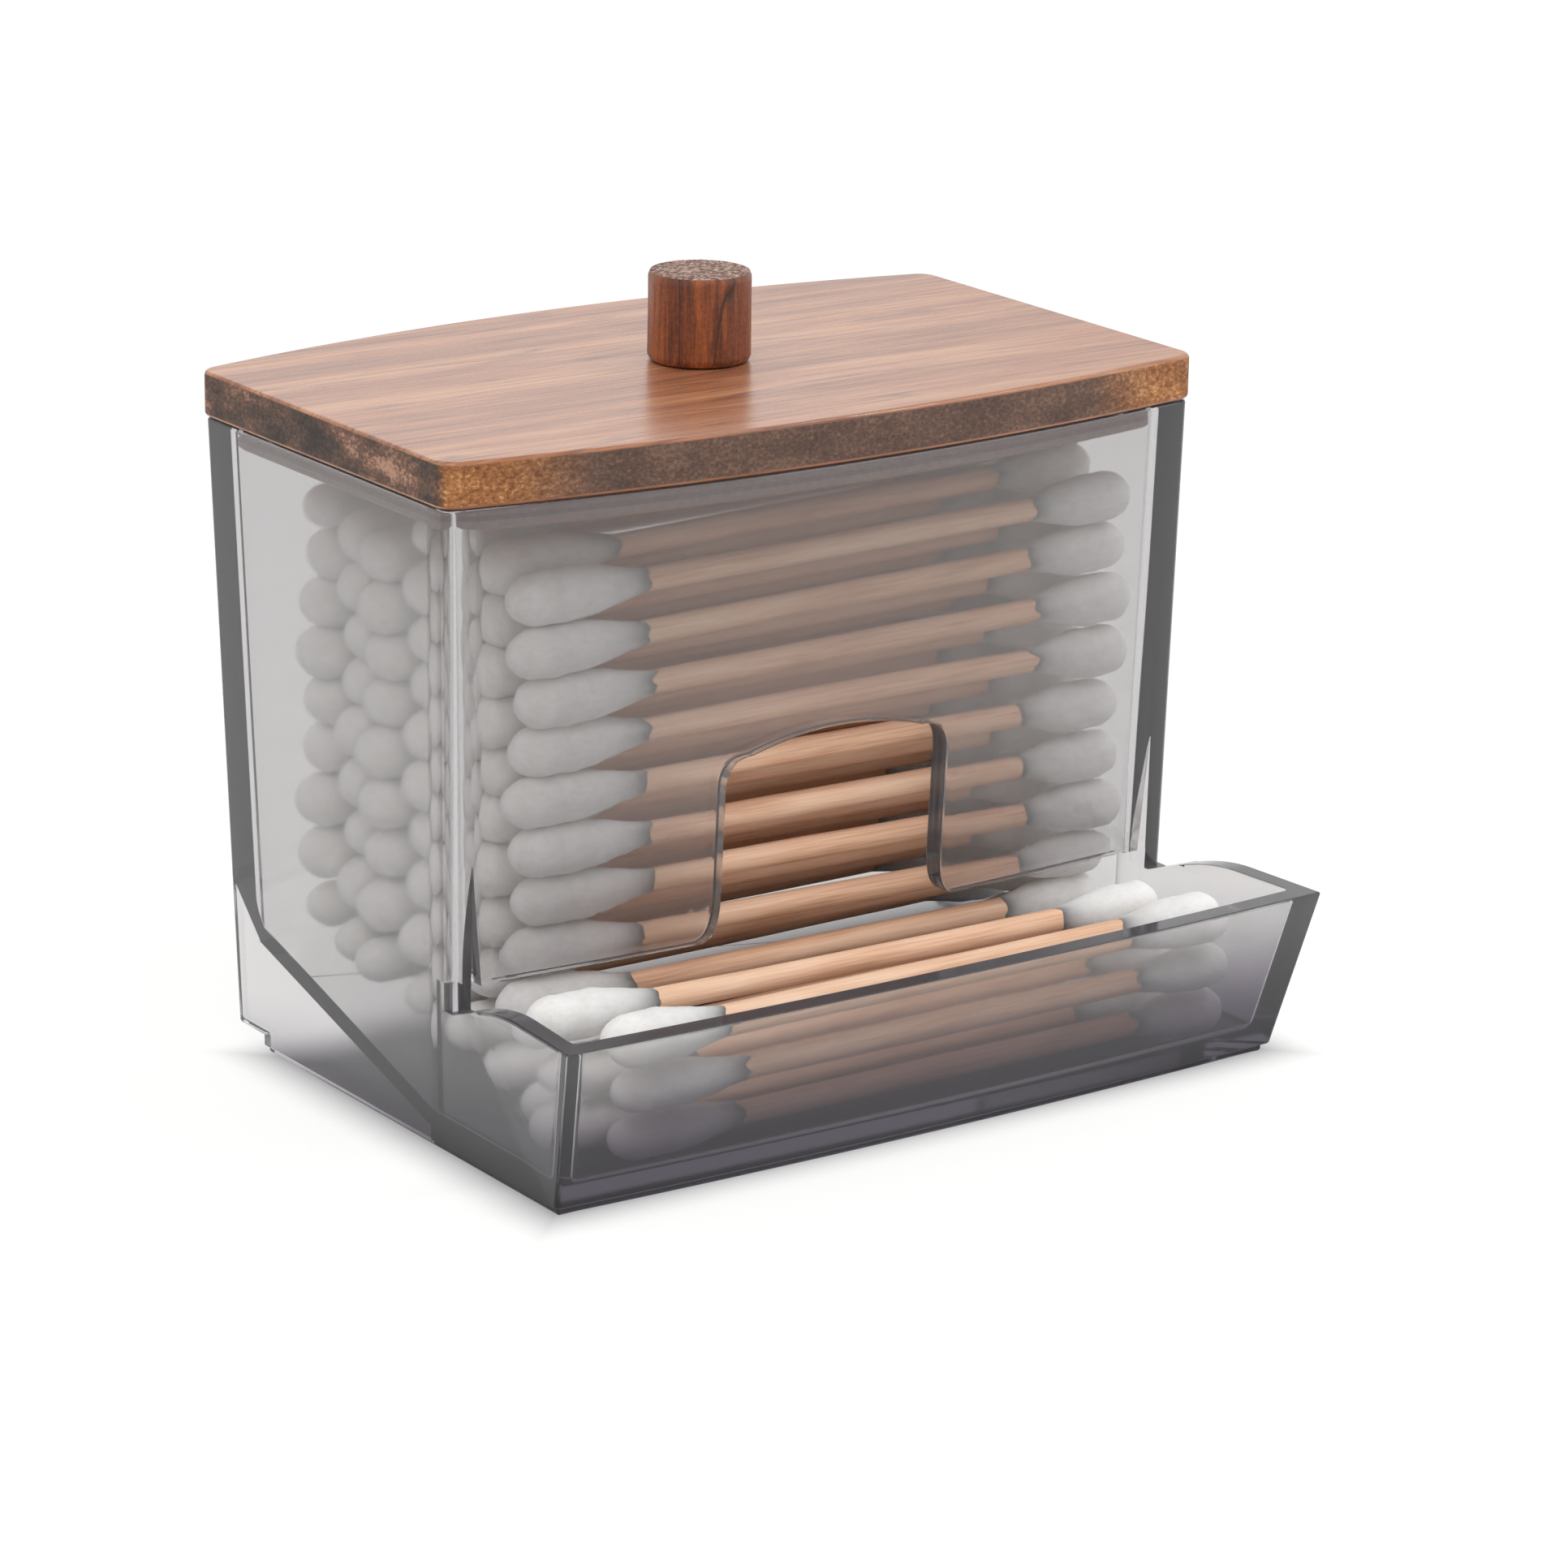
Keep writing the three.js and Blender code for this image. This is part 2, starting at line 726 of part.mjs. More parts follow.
const dispenser = new THREE.Group();
dispenser.add(body(), lidBoard(), sealRing(), knob(), knobScrew(), ...pileSwabs(), ...looseSwabs());
const lipY = -trayRimReach - trayBow;
const lidBackY = rimDepth + rimBackBow + lidOverhang;
dispenser.position.y = -(lipY + lidBackY) / 2;

export default dispenser;
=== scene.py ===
import json
import math
import random

import bmesh
import bpy
from mathutils import Matrix, Vector, noise


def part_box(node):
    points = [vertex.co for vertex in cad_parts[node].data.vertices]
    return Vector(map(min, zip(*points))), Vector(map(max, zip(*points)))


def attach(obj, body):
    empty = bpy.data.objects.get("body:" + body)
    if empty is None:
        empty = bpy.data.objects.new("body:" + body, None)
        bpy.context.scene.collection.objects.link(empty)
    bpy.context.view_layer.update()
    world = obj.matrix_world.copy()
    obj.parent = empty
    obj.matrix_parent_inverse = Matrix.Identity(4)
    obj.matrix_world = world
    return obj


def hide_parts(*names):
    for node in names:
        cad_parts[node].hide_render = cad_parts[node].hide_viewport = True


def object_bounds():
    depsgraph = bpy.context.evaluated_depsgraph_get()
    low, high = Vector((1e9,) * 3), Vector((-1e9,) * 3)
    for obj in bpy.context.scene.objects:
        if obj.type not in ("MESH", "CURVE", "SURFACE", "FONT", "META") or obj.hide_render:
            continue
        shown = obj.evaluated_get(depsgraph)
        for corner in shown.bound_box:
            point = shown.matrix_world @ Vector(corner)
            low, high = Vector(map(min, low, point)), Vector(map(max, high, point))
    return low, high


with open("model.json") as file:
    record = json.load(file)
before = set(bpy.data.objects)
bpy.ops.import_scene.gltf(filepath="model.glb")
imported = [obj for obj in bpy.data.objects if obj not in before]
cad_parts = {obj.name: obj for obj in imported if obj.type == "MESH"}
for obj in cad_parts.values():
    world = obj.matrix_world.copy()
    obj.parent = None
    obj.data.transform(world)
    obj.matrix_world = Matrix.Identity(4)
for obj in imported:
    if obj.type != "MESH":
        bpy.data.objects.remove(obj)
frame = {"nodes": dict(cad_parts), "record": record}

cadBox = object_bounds()
mm = 0.001
scene = bpy.context.scene
print("frame loaded")


# Sizes in millimetres, as in the solids.
# y is 0 at the rim's front corners, until a mesh is moved to the frame.

hopperSizes = {
    "rimWidth": 90.0,
    "rimDepth": 46.0,
    "rimHeight": 65.6,
    "sideDraft": 1.0,
    "frontDraft": 1.1,
    "backDraft": 3.2,
    "rimFrontBow": 4.0,
    "rimBackBow": 5.5,
    "baseBow": 1.1,
    "corner": 1.1,
    "innerCorner": 3.0,
    "wall": 2.5,
    "slopeFootY": 4.0,
    "creaseY": 38.4,
    "creaseZ": 13.0,
    "floorThickness": 1.8,
    "bevelAngle": math.radians(48),
    "voidFrontY": 6.0,
    "cheekWall": 2.3,
    "heelY": 37.4,
    "heelRise": 1.9,
    "footHeight": 0.9,
    "footInset": 0.6,
    "outletTop": 17.4,
    "notchWidth": 27.0,
    "notchTop": 38.2,
    "notchArch": 1.6,
    "notchCorner": 3.2,
    "notchFlare": 2.4,
    "archSteps": 24,
    "reliefWidth": 1.1,  # the leaf shaped openings beside the front wall
    "reliefHeight": 12.4,
    "reliefDepth": 3.0,
    "reliefTip": 0.5,
    "edgeRadius": 0.25,  # how round a moulded edge is
    "edgeSteps": 2,
    "edgeAngle": math.radians(45),  # an edge that turns by less isn't rounded
    "creaseAngle": math.radians(20),
    "weldDistance": 0.01,
    "sharpBeyondX": 39.0,  # the narrow openings by the side walls keep their edges sharp
    "sharpY": (-5.0, 9.0),
    "sharpBelowZ": 41.0,
    "bowSteps": 40,
    "cornerSteps": 6,
    "overrun": 2.0,  # how far a cutter stands out of what it cuts
}

traySizes = {
    "floor": 3.0,
    "rimHeight": 18.4,
    "baseReach": 18.2,
    "rimReach": 23.2,
    "flare": 1.7,
    "bow": 1.2,
    "baseCorner": 0.7,
    "rimCorner": 0.3,
    "innerBaseCorner": 0.8,
    "innerRimCorner": 0.4,
    "leastCorner": 0.2,
    "floorFillet": 1.1,
    "filletSteps": 4,
    "dipHeight": 15.2,
    "dipLength": 13.0,
    "dipSteps": 14,
}

# How far the frame has the rim's front corners from y 0
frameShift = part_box("body")[0].y / mm + traySizes["rimReach"] + traySizes["bow"]


def bowAt(x, half, bow):
    return bow * (1 - (x / half) ** 2)


# One closed outline at height z, anticlockwise from above.
# The long sides bow out as parabolas that run into round corners.
def outline(section, z):
    front, back, frontBow, backBow, frontHalf, backHalf, frontCorner, backCorner = section
    bowSteps, cornerSteps = hopperSizes["bowSteps"], hopperSizes["cornerSteps"]

    def halfSide(edgeY, sideY, half, bow, corner):
        endX = (half - corner) / (1 - (2 * bow * corner) / half**2)
        lean = math.atan(2 * bow * endX / half**2)
        centreX = half - corner
        centreY = edgeY + sideY * (bowAt(endX, half, bow) - corner * math.cos(lean))
        points = []
        for i in range(bowSteps // 2 + 1):
            x = endX * 2 * i / bowSteps
            points.append((x, edgeY + sideY * bowAt(x, half, bow)))
        for i in range(1, cornerSteps + 1):
            angle = (math.pi / 2 - lean) * (1 - i / cornerSteps)
            points.append((centreX + corner * math.cos(angle), centreY + sideY * corner * math.sin(angle)))
        return points

    frontSide = halfSide(front, -1, frontHalf, frontBow, frontCorner)
    backSide = halfSide(back, 1, backHalf, backBow, backCorner)
    loop = frontSide + backSide[::-1]
    loop += [(-x, y) for x, y in backSide[1:]]
    loop += [(-x, y) for x, y in frontSide[:0:-1]]
    return [(x, y, z) for x, y in loop]


def hopperHalf(z):
    return hopperSizes["rimWidth"] / 2 - hopperSizes["sideDraft"] * (1 - z / hopperSizes["rimHeight"])


def hopperSection(z, inset, corner):
    s = hopperSizes
    drop = 1 - z / s["rimHeight"]
    half = hopperHalf(z) - inset
    frontBow = s["rimFrontBow"] + (s["baseBow"] - s["rimFrontBow"]) * drop
    backBow = s["rimBackBow"] + (s["baseBow"] - s["rimBackBow"]) * drop
    front = s["frontDraft"] * drop + inset
    back = s["rimDepth"] - s["backDraft"] * drop - inset
    return front, back, frontBow, backBow, half, half, corner, corner


def traySection(z, inset, baseCorner, rimCorner):
    s = traySizes
    rise = z / s["rimHeight"]
    lean = math.atan2(s["rimReach"] - s["baseReach"], s["rimHeight"])
    front = -s["baseReach"] - (s["rimReach"] - s["baseReach"]) * rise + inset / math.cos(lean)
    back = hopperSizes["slopeFootY"] + hopperSizes["wall"]
    frontHalf = hopperHalf(z) + s["flare"] * rise - inset
    corner = baseCorner + (rimCorner - baseCorner) * rise
    return front, back, s["bow"], 0.0, frontHalf, hopperHalf(z) - inset, corner, hopperSizes["innerCorner"]


# Meshes

def meshFrom(bm, name):
    mesh = bpy.data.meshes.new(name)
    bmesh.ops.recalc_face_normals(bm, faces=bm.faces)
    bm.to_mesh(mesh)
    bm.free()
    return mesh


def newObject(name, mesh):
    piece = bpy.data.objects.new(name, mesh)
    scene.collection.objects.link(piece)
    return piece


# A closed mesh through rings of equal point count, in millimetres
def loft(rings, name="loft"):
    bm = bmesh.new()
    levels = [[bm.verts.new(Vector(point) * mm) for point in ring] for ring in rings]
    for low, high in zip(levels, levels[1:]):
        for i in range(len(low)):
            j = (i + 1) % len(low)
            bm.faces.new((low[i], low[j], high[j], high[i]))
    bm.faces.new(levels[0][::-1])
    bm.faces.new(levels[-1])
    bmesh.ops.triangulate(bm, faces=[face for face in bm.faces if len(face.verts) == 4])
    return newObject(name, meshFrom(bm, name))


# A closed prism of a flat outline, run between two values along the axis that the outline leaves out
def prism(points, low, high, axis):
    def place(a, b, along):
        return (along, a, b) if axis == "X" else (a, along, b)

    return loft([[place(a, b, along) for a, b in points] for along in (low, high)], "cutter")


# Joins or cuts two closed meshes and drops the second
def combine(base, other, operation):
    modifier = base.modifiers.new("combine", "BOOLEAN")
    modifier.operation = operation
    modifier.solver = "MANIFOLD"
    modifier.object = other
    applyModifiers(base)
    bpy.data.objects.remove(other)
    return base


def applyModifiers(piece):
    evaluated = piece.evaluated_get(bpy.context.evaluated_depsgraph_get())
    mesh = bpy.data.meshes.new_from_object(evaluated)
    piece.modifiers.clear()
    piece.data = mesh


def quadCurve(start, control, end, steps=8):
    points = []
    for i in range(1, steps + 1):
        t = i / steps
        points.append(tuple((1 - t) ** 2 * a + 2 * t * (1 - t) * b + t**2 * c
                            for a, b, c in zip(start, control, end)))
    return points


def hopperLoft(lowZ, highZ, inset, corner):
    return loft([outline(hopperSection(z, inset, corner), z) for z in (lowZ, highZ)])


def trayLoft(heights, inset, baseCorner, rimCorner):
    rings = []
    for z, extra in heights:
        corner = max(traySizes["leastCorner"], baseCorner - extra / 2)
        rings.append(outline(traySection(z, inset + extra, corner, rimCorner), z))
    return loft(rings)


def buildBody():
    s, t = hopperSizes, traySizes
    run = s["overrun"]
    backEnd = s["slopeFootY"] + s["wall"] + run
    far = s["rimBackBow"] + s["rimDepth"] + run

    hopperOuter = hopperLoft(s["footHeight"], s["rimHeight"], 0, s["corner"])
    body = hopperLoft(s["footHeight"], s["rimHeight"], 0, s["corner"])

    trayTop = t["rimHeight"] + run
    trayOuter = trayLoft([(s["footHeight"], 0), (trayTop, 0)], 0, t["baseCorner"], t["rimCorner"])
    reach = t["rimReach"] + t["bow"] + run
    rim = [(-reach, t["rimHeight"])]
    for i in range(t["dipSteps"] + 1):
        share = 1 - i / t["dipSteps"]
        rise = (t["rimHeight"] - t["dipHeight"]) * math.sin(share * math.pi / 2)
        rim.append((-t["dipLength"] * share, t["dipHeight"] + rise))
    rim += [(backEnd, t["dipHeight"]), (backEnd, trayTop + run), (-reach, trayTop + run)]
    side = s["rimWidth"] / 2 + t["flare"] + run
    combine(trayOuter, prism(rim, -side, side, "X"), "DIFFERENCE")

    footSection = (-t["baseReach"] + s["footInset"], s["heelY"] + run, t["bow"], 0.0,
                   hopperHalf(0) - s["footInset"], hopperHalf(0) - s["footInset"],
                   t["baseCorner"] - s["footInset"], s["footInset"])
    foot = loft([outline(footSection, z) for z in (0, s["footHeight"] + s["footInset"])])

    bevelTan = math.tan(s["bevelAngle"])
    slopeTan = (s["creaseZ"] - t["floor"]) / (s["creaseY"] - s["slopeFootY"])
    above = [
        (-s["rimDepth"], t["floor"]),
        (s["slopeFootY"], t["floor"]),
        (s["creaseY"], s["creaseZ"]),
        (far, s["creaseZ"] + (far - s["creaseY"]) * bevelTan),
        (far, 2 * s["rimHeight"]),
        (-s["rimDepth"], 2 * s["rimHeight"]),
    ]
    hopperInner = hopperLoft(-run, s["rimHeight"] + run, s["wall"], s["innerCorner"])
    combine(hopperInner, prism(above, -s["rimWidth"], s["rimWidth"], "X"), "INTERSECT")

    fillet = t["floorFillet"]
    heights = []
    for i in range(t["filletSteps"] + 1):
        angle = i / t["filletSteps"] * math.pi / 2
        heights.append((t["floor"] + fillet * (1 - math.cos(angle)), fillet * (1 - math.sin(angle))))
    heights.append((trayTop + run, 0))
    trayInner = trayLoft(heights, s["wall"], t["innerBaseCorner"], t["innerRimCorner"])
    underFront = newObject("under", trayInner.data.copy())
    below = [(-s["rimDepth"], 0), (s["rimDepth"], 0), (s["rimDepth"], s["outletTop"]),
             (-s["rimDepth"], s["outletTop"])]
    combine(underFront, prism(below, -s["rimWidth"], s["rimWidth"], "X"), "INTERSECT")
    combine(underFront, prism(above, -s["rimWidth"], s["rimWidth"], "X"), "INTERSECT")
    combine(trayInner, hopperOuter, "DIFFERENCE")

    half, shoulder = s["notchWidth"] / 2, s["notchTop"] - s["notchArch"]
    flare, bend, top = s["notchFlare"], s["notchCorner"], s["outletTop"]
    right = [(half + flare, top - run), (half + flare, top)]
    right += quadCurve((half + flare, top), (half, top), (half, top + 2 * flare))
    right += [(half, shoulder - bend)]
    right += quadCurve((half, shoulder - bend), (half, shoulder), (half - bend, shoulder))
    peak = (0, s["notchTop"] + s["notchArch"])
    arch = quadCurve((half - bend, shoulder), peak, (bend - half, shoulder), s["archSteps"])
    left = [(-x, z) for x, z in right[::-1]]
    notch = right + arch[:-1] + left
    frontY, backY = -s["rimFrontBow"] - run, s["frontDraft"] + s["wall"] + run

    combine(body, trayOuter, "UNION")
    combine(body, foot, "UNION")
    combine(body, hopperInner, "DIFFERENCE")
    combine(body, trayInner, "DIFFERENCE")
    combine(body, underFront, "DIFFERENCE")
    combine(body, prism(notch, frontY, backY, "Y"), "DIFFERENCE")

    outer, tipZ = hopperHalf(top) - s["wall"], top + s["reliefHeight"]
    inner, depth = outer - s["reliefWidth"], s["reliefDepth"]
    wedge = [(outer, top - run), (outer, tipZ), (inner, top), (inner, top - run)]
    leaf = [(frontY, top - run), (depth, top - run), (depth, top)]
    leaf += quadCurve((depth, top), (depth, (top + tipZ) / 2), (s["reliefTip"], tipZ))
    leaf += [(frontY, tipZ)]
    for sign in (-1, 1):
        cutter = prism([(sign * x, z) for x, z in wedge], frontY, backY, "Y")
        combine(cutter, prism(leaf, -s["rimWidth"], s["rimWidth"], "X"), "INTERSECT")
        combine(body, cutter, "DIFFERENCE")

    slopeDrop = s["floorThickness"] * math.hypot(1, slopeTan)
    bevelDrop = s["floorThickness"] * math.hypot(1, bevelTan)
    turnY = s["creaseY"] + (bevelDrop - slopeDrop) / (bevelTan - slopeTan)

    def underZ(y):
        return s["creaseZ"] + (y - s["creaseY"]) * slopeTan - slopeDrop

    void = [(s["voidFrontY"], -run), (far, -run),
            (far, s["creaseZ"] + (far - s["creaseY"]) * bevelTan - bevelDrop),
            (turnY, underZ(turnY)), (s["voidFrontY"], underZ(s["voidFrontY"]))]
    cheek = hopperHalf(0) - s["cheekWall"]
    combine(body, prism(void, -cheek, cheek, "X"), "DIFFERENCE")
    heel = [(s["heelY"], -run), (far, -run), (far, s["heelRise"]), (s["heelY"], s["heelRise"])]
    combine(body, prism(heel, -s["rimWidth"], s["rimWidth"], "X"), "DIFFERENCE")
    return body


def staysSharp(edge):
    s = hopperSizes
    points = [vertex.co / mm for vertex in edge.verts]
    points.append((points[0] + points[1]) / 2)
    near, far = s["sharpY"]
    return any(abs(p.x) > s["sharpBeyondX"] and near < p.y < far and p.z < s["sharpBelowZ"] for p in points)


# Rounds the edges of the moulding, all but those that stay sharp
def roundEdges(piece):
    s = hopperSizes
    bm = bmesh.new()
    bm.from_mesh(piece.data)
    bmesh.ops.remove_doubles(bm, verts=bm.verts, dist=s["weldDistance"] * mm)
    bmesh.ops.collapse(bm, edges=[e for e in bm.edges if not e.is_manifold])
    edges = [e for e in bm.edges
             if e.is_manifold and e.calc_face_angle(0) > s["edgeAngle"] and not staysSharp(e)]
    bmesh.ops.bevel(bm, geom=edges, offset=s["edgeRadius"] * mm, offset_type="OFFSET",
                    segments=s["edgeSteps"], profile=0.5, affect="EDGES", clamp_overlap=False)
    bm.to_mesh(piece.data)
    bm.free()


# Smooth shading with creases kept, and large faces kept flat next to small ones
def shadeSmooth(piece, crease):
    piece.data.shade_smooth()
    piece.data.set_sharp_from_angle(angle=crease)
    modifier = piece.modifiers.new("flat faces", "WEIGHTED_NORMAL")
    modifier.mode = "FACE_AREA"
    modifier.weight = 90  # of 100, towards the larger face
    modifier.keep_sharp = True
    applyModifiers(piece)


def moveToFrame(piece):
    piece.data.transform(Matrix.Translation((0, frameShift * mm, 0)))


def finishPiece(piece, name, material, body, slot, *nodes):
    piece.name = name
    piece.data.materials.clear()
    piece.data.materials.append(material)
    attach(piece, body)
    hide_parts(*nodes)


# Materials

def hexColour(text):
    def linear(value):
        return value / 12.92 if value <= 0.04045 else ((value + 0.055) / 1.055) ** 2.4

    return tuple(linear(int(text[i:i + 2], 16) / 255) for i in (1, 3, 5)) + (1.0,)


# Adds one node with its settings, its inputs as values or as sockets, and a colour ramp's stops.
# It gives back the socket of one output.
def addNode(tree, kind, inputs=None, output=0, stops=(), **settings):
    node = tree.nodes.new("ShaderNode" + kind)
    for key, value in settings.items():
        setattr(node, key, value)
    for key, value in (inputs or {}).items():
        if isinstance(value, bpy.types.NodeSocket):
            tree.links.new(value, node.inputs[key])
        else:
            node.inputs[key].default_value = value
    if stops:
        elements = node.color_ramp.elements
        elements[0].position, elements[1].position = stops[0][0], stops[-1][0]
        for place, _ in stops[1:-1]:
            elements.new(place)
        for element, (_, colour) in zip(elements, stops):
            element.color = hexColour(colour) if isinstance(colour, str) else (colour, colour, colour, 1)
    return node.outputs[output] if node.outputs else None


def newMaterial(name):
    material = bpy.data.materials.new(name)
    material.use_nodes = True
    material.node_tree.nodes.clear()
    return material, material.node_tree


# A cloudy pattern whose blobs have the given size in mm along x, y and z
def blotches(tree, size, detail=4.0, roughness=0.55, distortion=0.0):
    place = addNode(tree, "TexCoord", output="Object")
    scaled = addNode(tree, "VectorMath", {0: place, 1: [one * mm for one in size]}, operation="DIVIDE")
    return addNode(tree, "TexNoise", {"Vector": scaled, "Scale": 1.0, "Detail": detail,
                                      "Roughness": roughness, "Distortion": distortion})


# Thin lines that wander through a cloudy pattern, from 0 between them to 1 on them
def veins(tree, size, width, detail=2.0):
    cloud = blotches(tree, size, detail=detail)
    away = addNode(tree, "Math", {0: cloud, 1: 0.5}, operation="SUBTRACT")
    far = addNode(tree, "Math", {0: away}, operation="ABSOLUTE")
    return addNode(tree, "ValToRGB", {0: far}, stops=[(0.0, 1.0), (width, 0.0)])


# Adds up patterns by their weights
def weighed(tree, *parts):
    total = 0.0
    for pattern, weight in parts:
        total = addNode(tree, "Math", {0: pattern, 1: weight, 2: total}, operation="MULTIPLY_ADD")
    return total


# Smoke tinted acrylic, injection moulded and polished: clear but for a faint milky haze through a wall,
# dark and purplish through an edge, with painted shade that darkens it low down at the front
smokeSettings = {
    "ior": 1.49,
    "roughness": 0.08,
    "clearness": 0.955,  # the rest scatters as a faint milky haze
    "tint": "#b9b5be",
    "density": 95.0,  # of the dye, per metre
    "shadowTint": "#fefefe",  # of the light that falls through it
    "clearTint": "#eeedec",
    "deepTint": "#8c8593",  # painted shade: the plastic darker low down at the front, where the unlit floor under the box shows through
    "deepSlant": 0.2,  # how far back it reaches, against how far up
    "deepFrom": 4.0,  # mm up at the front
    "deepTo": 19.5,
    "swellSize": 9.0,  # mm between the slow swells that moulding leaves
    "swellHeight": 0.02,
    "swellStrength": 0.12,
}


def smokeAcrylic():
    s = smokeSettings
    material, tree = newMaterial("acrylic_smoke_moulded")
    swell = blotches(tree, (s["swellSize"],) * 3, detail=1.0)
    bump = addNode(tree, "Bump", {"Height": swell, "Strength": s["swellStrength"],
                                  "Distance": s["swellHeight"] * mm})
    place = addNode(tree, "SeparateXYZ", {0: addNode(tree, "TexCoord", output="Object")}).node.outputs
    # painted shade: the tint darkens towards the bottom front, by height and by how far forward
    back = addNode(tree, "Math", {0: place["Y"], 1: -cadBox[0][1]}, operation="ADD")
    rise = addNode(tree, "Math", {0: back, 1: s["deepSlant"], 2: place["Z"]}, operation="MULTIPLY_ADD")
    height = addNode(tree, "MapRange", {"Value": rise, "From Min": s["deepFrom"] * mm,
                                        "From Max": s["deepTo"] * mm}, interpolation_type="SMOOTHSTEP")
    tint = addNode(tree, "ValToRGB", {0: height}, stops=[(0.0, s["deepTint"]), (1.0, s["clearTint"])])
    glass = addNode(tree, "BsdfPrincipled", {
        "Base Color": tint, "Roughness": s["roughness"], "IOR": s["ior"],
        "Transmission Weight": s["clearness"], "Normal": bump})
    clear = addNode(tree, "BsdfTransparent", {"Color": hexColour(s["shadowTint"])})
    shadow = addNode(tree, "LightPath", output="Is Shadow Ray")
    surface = addNode(tree, "MixShader", {0: shadow, 1: glass, 2: clear})
    inside = addNode(tree, "VolumeAbsorption", {"Color": hexColour(s["tint"]), "Density": s["density"]})
    addNode(tree, "OutputMaterial", {"Surface": surface, "Volume": inside})
    return material


# Acacia, sawn, sanded and varnished: satin tan with long fibres on the faces, dark and fuzzy where it was
# sawn, and golden where the varnish pools by the corners
lidWoodSettings = {
    "bandSize": (85.0, 5.0, 9.0),
    "fibreSize": (17.0, 0.45, 0.5),
    "poreSize": (6.0, 0.3, 0.3),
    "veinSize": (75.0, 4.5, 5.0),
    "veinWidth": 0.02,
    "poreMask": [(0.6, 0.0), (0.7, 1.0)],
    "faceStops": [(0.4, "#c08a65"), (0.5, "#a96f4e"), (0.62, "#88543b")],
    "vein": "#6a4335",
    "speckleSize": (0.5, 0.5, 0.35),
    "patchSize": (8.0, 8.0, 3.5),
    "sawnStops": [(0.36, "#432d23"), (0.5, "#5c4235"), (0.64, "#80604f")],
    "goldenStops": [(0.38, "#653818"), (0.52, "#9f6433"), (0.64, "#d3a069")],
    "endStops": [(0.4, "#241912"), (0.48, "#463126"), (0.56, "#6c4a38"), (0.64, "#b2866d")],
    "goldenFrom": (30.0, 39.0),  # mm from the middle
    "endMask": [(0.75, 0.0), (0.97, 1.0)],  # how far a face turns to the side
    "sideMask": [(0.1, 1.0), (0.45, 0.0)],  # how far a face turns up or down
    "fibreRange": (0.35, 0.65),  # of the fibre pattern, spread over the roughness
    "roughness": (0.2, 0.3),
    "sawnRoughness": 0.6,
    "bumpStrength": 0.3,
    "bumpHeight": 0.12,
    "ior": 1.5,
}


def varnishedLid():
    s = lidWoodSettings
    material, tree = newMaterial("acacia_varnished_board")
    band = blotches(tree, s["bandSize"], detail=3.0, roughness=0.6)
    fibre = blotches(tree, s["fibreSize"], detail=5.0, roughness=0.6)
    spots = blotches(tree, s["poreSize"], detail=2.0)
    pore = addNode(tree, "ValToRGB", {0: spots}, stops=s["poreMask"])
    tone = weighed(tree, (band, 0.6), (fibre, 0.4))
    face = addNode(tree, "ValToRGB", {0: tone}, stops=s["faceStops"])
    vein = veins(tree, s["veinSize"], s["veinWidth"])
    lines = weighed(tree, (vein, 0.6), (pore, 0.25))
    face = addNode(tree, "Mix", {0: lines, 6: face, 7: hexColour(s["vein"])}, 2, data_type="RGBA")

    speckle = blotches(tree, s["speckleSize"], roughness=0.7)
    patch = blotches(tree, s["patchSize"], detail=3.0, roughness=0.6)
    mottle = weighed(tree, (speckle, 0.65), (patch, 0.35))
    sawn = addNode(tree, "ValToRGB", {0: mottle}, stops=s["sawnStops"])
    golden = addNode(tree, "ValToRGB", {0: mottle}, stops=s["goldenStops"])
    endTone = weighed(tree, (speckle, 0.4), (patch, 0.6))
    end = addNode(tree, "ValToRGB", {0: endTone}, stops=s["endStops"])

    place = addNode(tree, "TexCoord", output="Object")
    across = addNode(tree, "SeparateXYZ", {0: place}, "X")
    across = addNode(tree, "Math", {0: across}, operation="ABSOLUTE")
    pooled = addNode(tree, "MapRange", {"Value": across, "From Min": s["goldenFrom"][0] * mm,
                                        "From Max": s["goldenFrom"][1] * mm})
    side = addNode(tree, "Mix", {0: pooled, 6: sawn, 7: golden}, 2, data_type="RGBA")
    normal = addNode(tree, "NewGeometry", output="Normal")
    turned = addNode(tree, "VectorMath", {0: normal}, operation="ABSOLUTE")
    turned = addNode(tree, "SeparateXYZ", {0: turned}).node.outputs
    isEnd = addNode(tree, "ValToRGB", {0: turned["X"]}, stops=s["endMask"])
    side = addNode(tree, "Mix", {0: isEnd, 6: side, 7: end}, 2, data_type="RGBA")
    isSide = addNode(tree, "ValToRGB", {0: turned["Z"]}, stops=s["sideMask"])
    colour = addNode(tree, "Mix", {0: isSide, 6: face, 7: side}, 2, data_type="RGBA")

    rough = addNode(tree, "MapRange", {
        "Value": fibre, "From Min": s["fibreRange"][0], "From Max": s["fibreRange"][1],
        "To Min": s["roughness"][0], "To Max": s["roughness"][1]})
    rough = addNode(tree, "Mix", {0: isSide, 2: rough, 3: s["sawnRoughness"]}, data_type="FLOAT")
    torn = addNode(tree, "Math", {0: speckle, 1: isSide}, operation="MULTIPLY")
    height = weighed(tree, (fibre, 0.5), (pore, -0.3), (torn, 1.6))
    bump = addNode(tree, "Bump", {"Height": height, "Strength": s["bumpStrength"],
                                  "Distance": s["bumpHeight"] * mm})
    wood = addNode(tree, "BsdfPrincipled", {"Base Color": colour, "Roughness": rough, "IOR": s["ior"],
                                            "Normal": bump})
    addNode(tree, "OutputMaterial", {"Surface": wood})
    return material


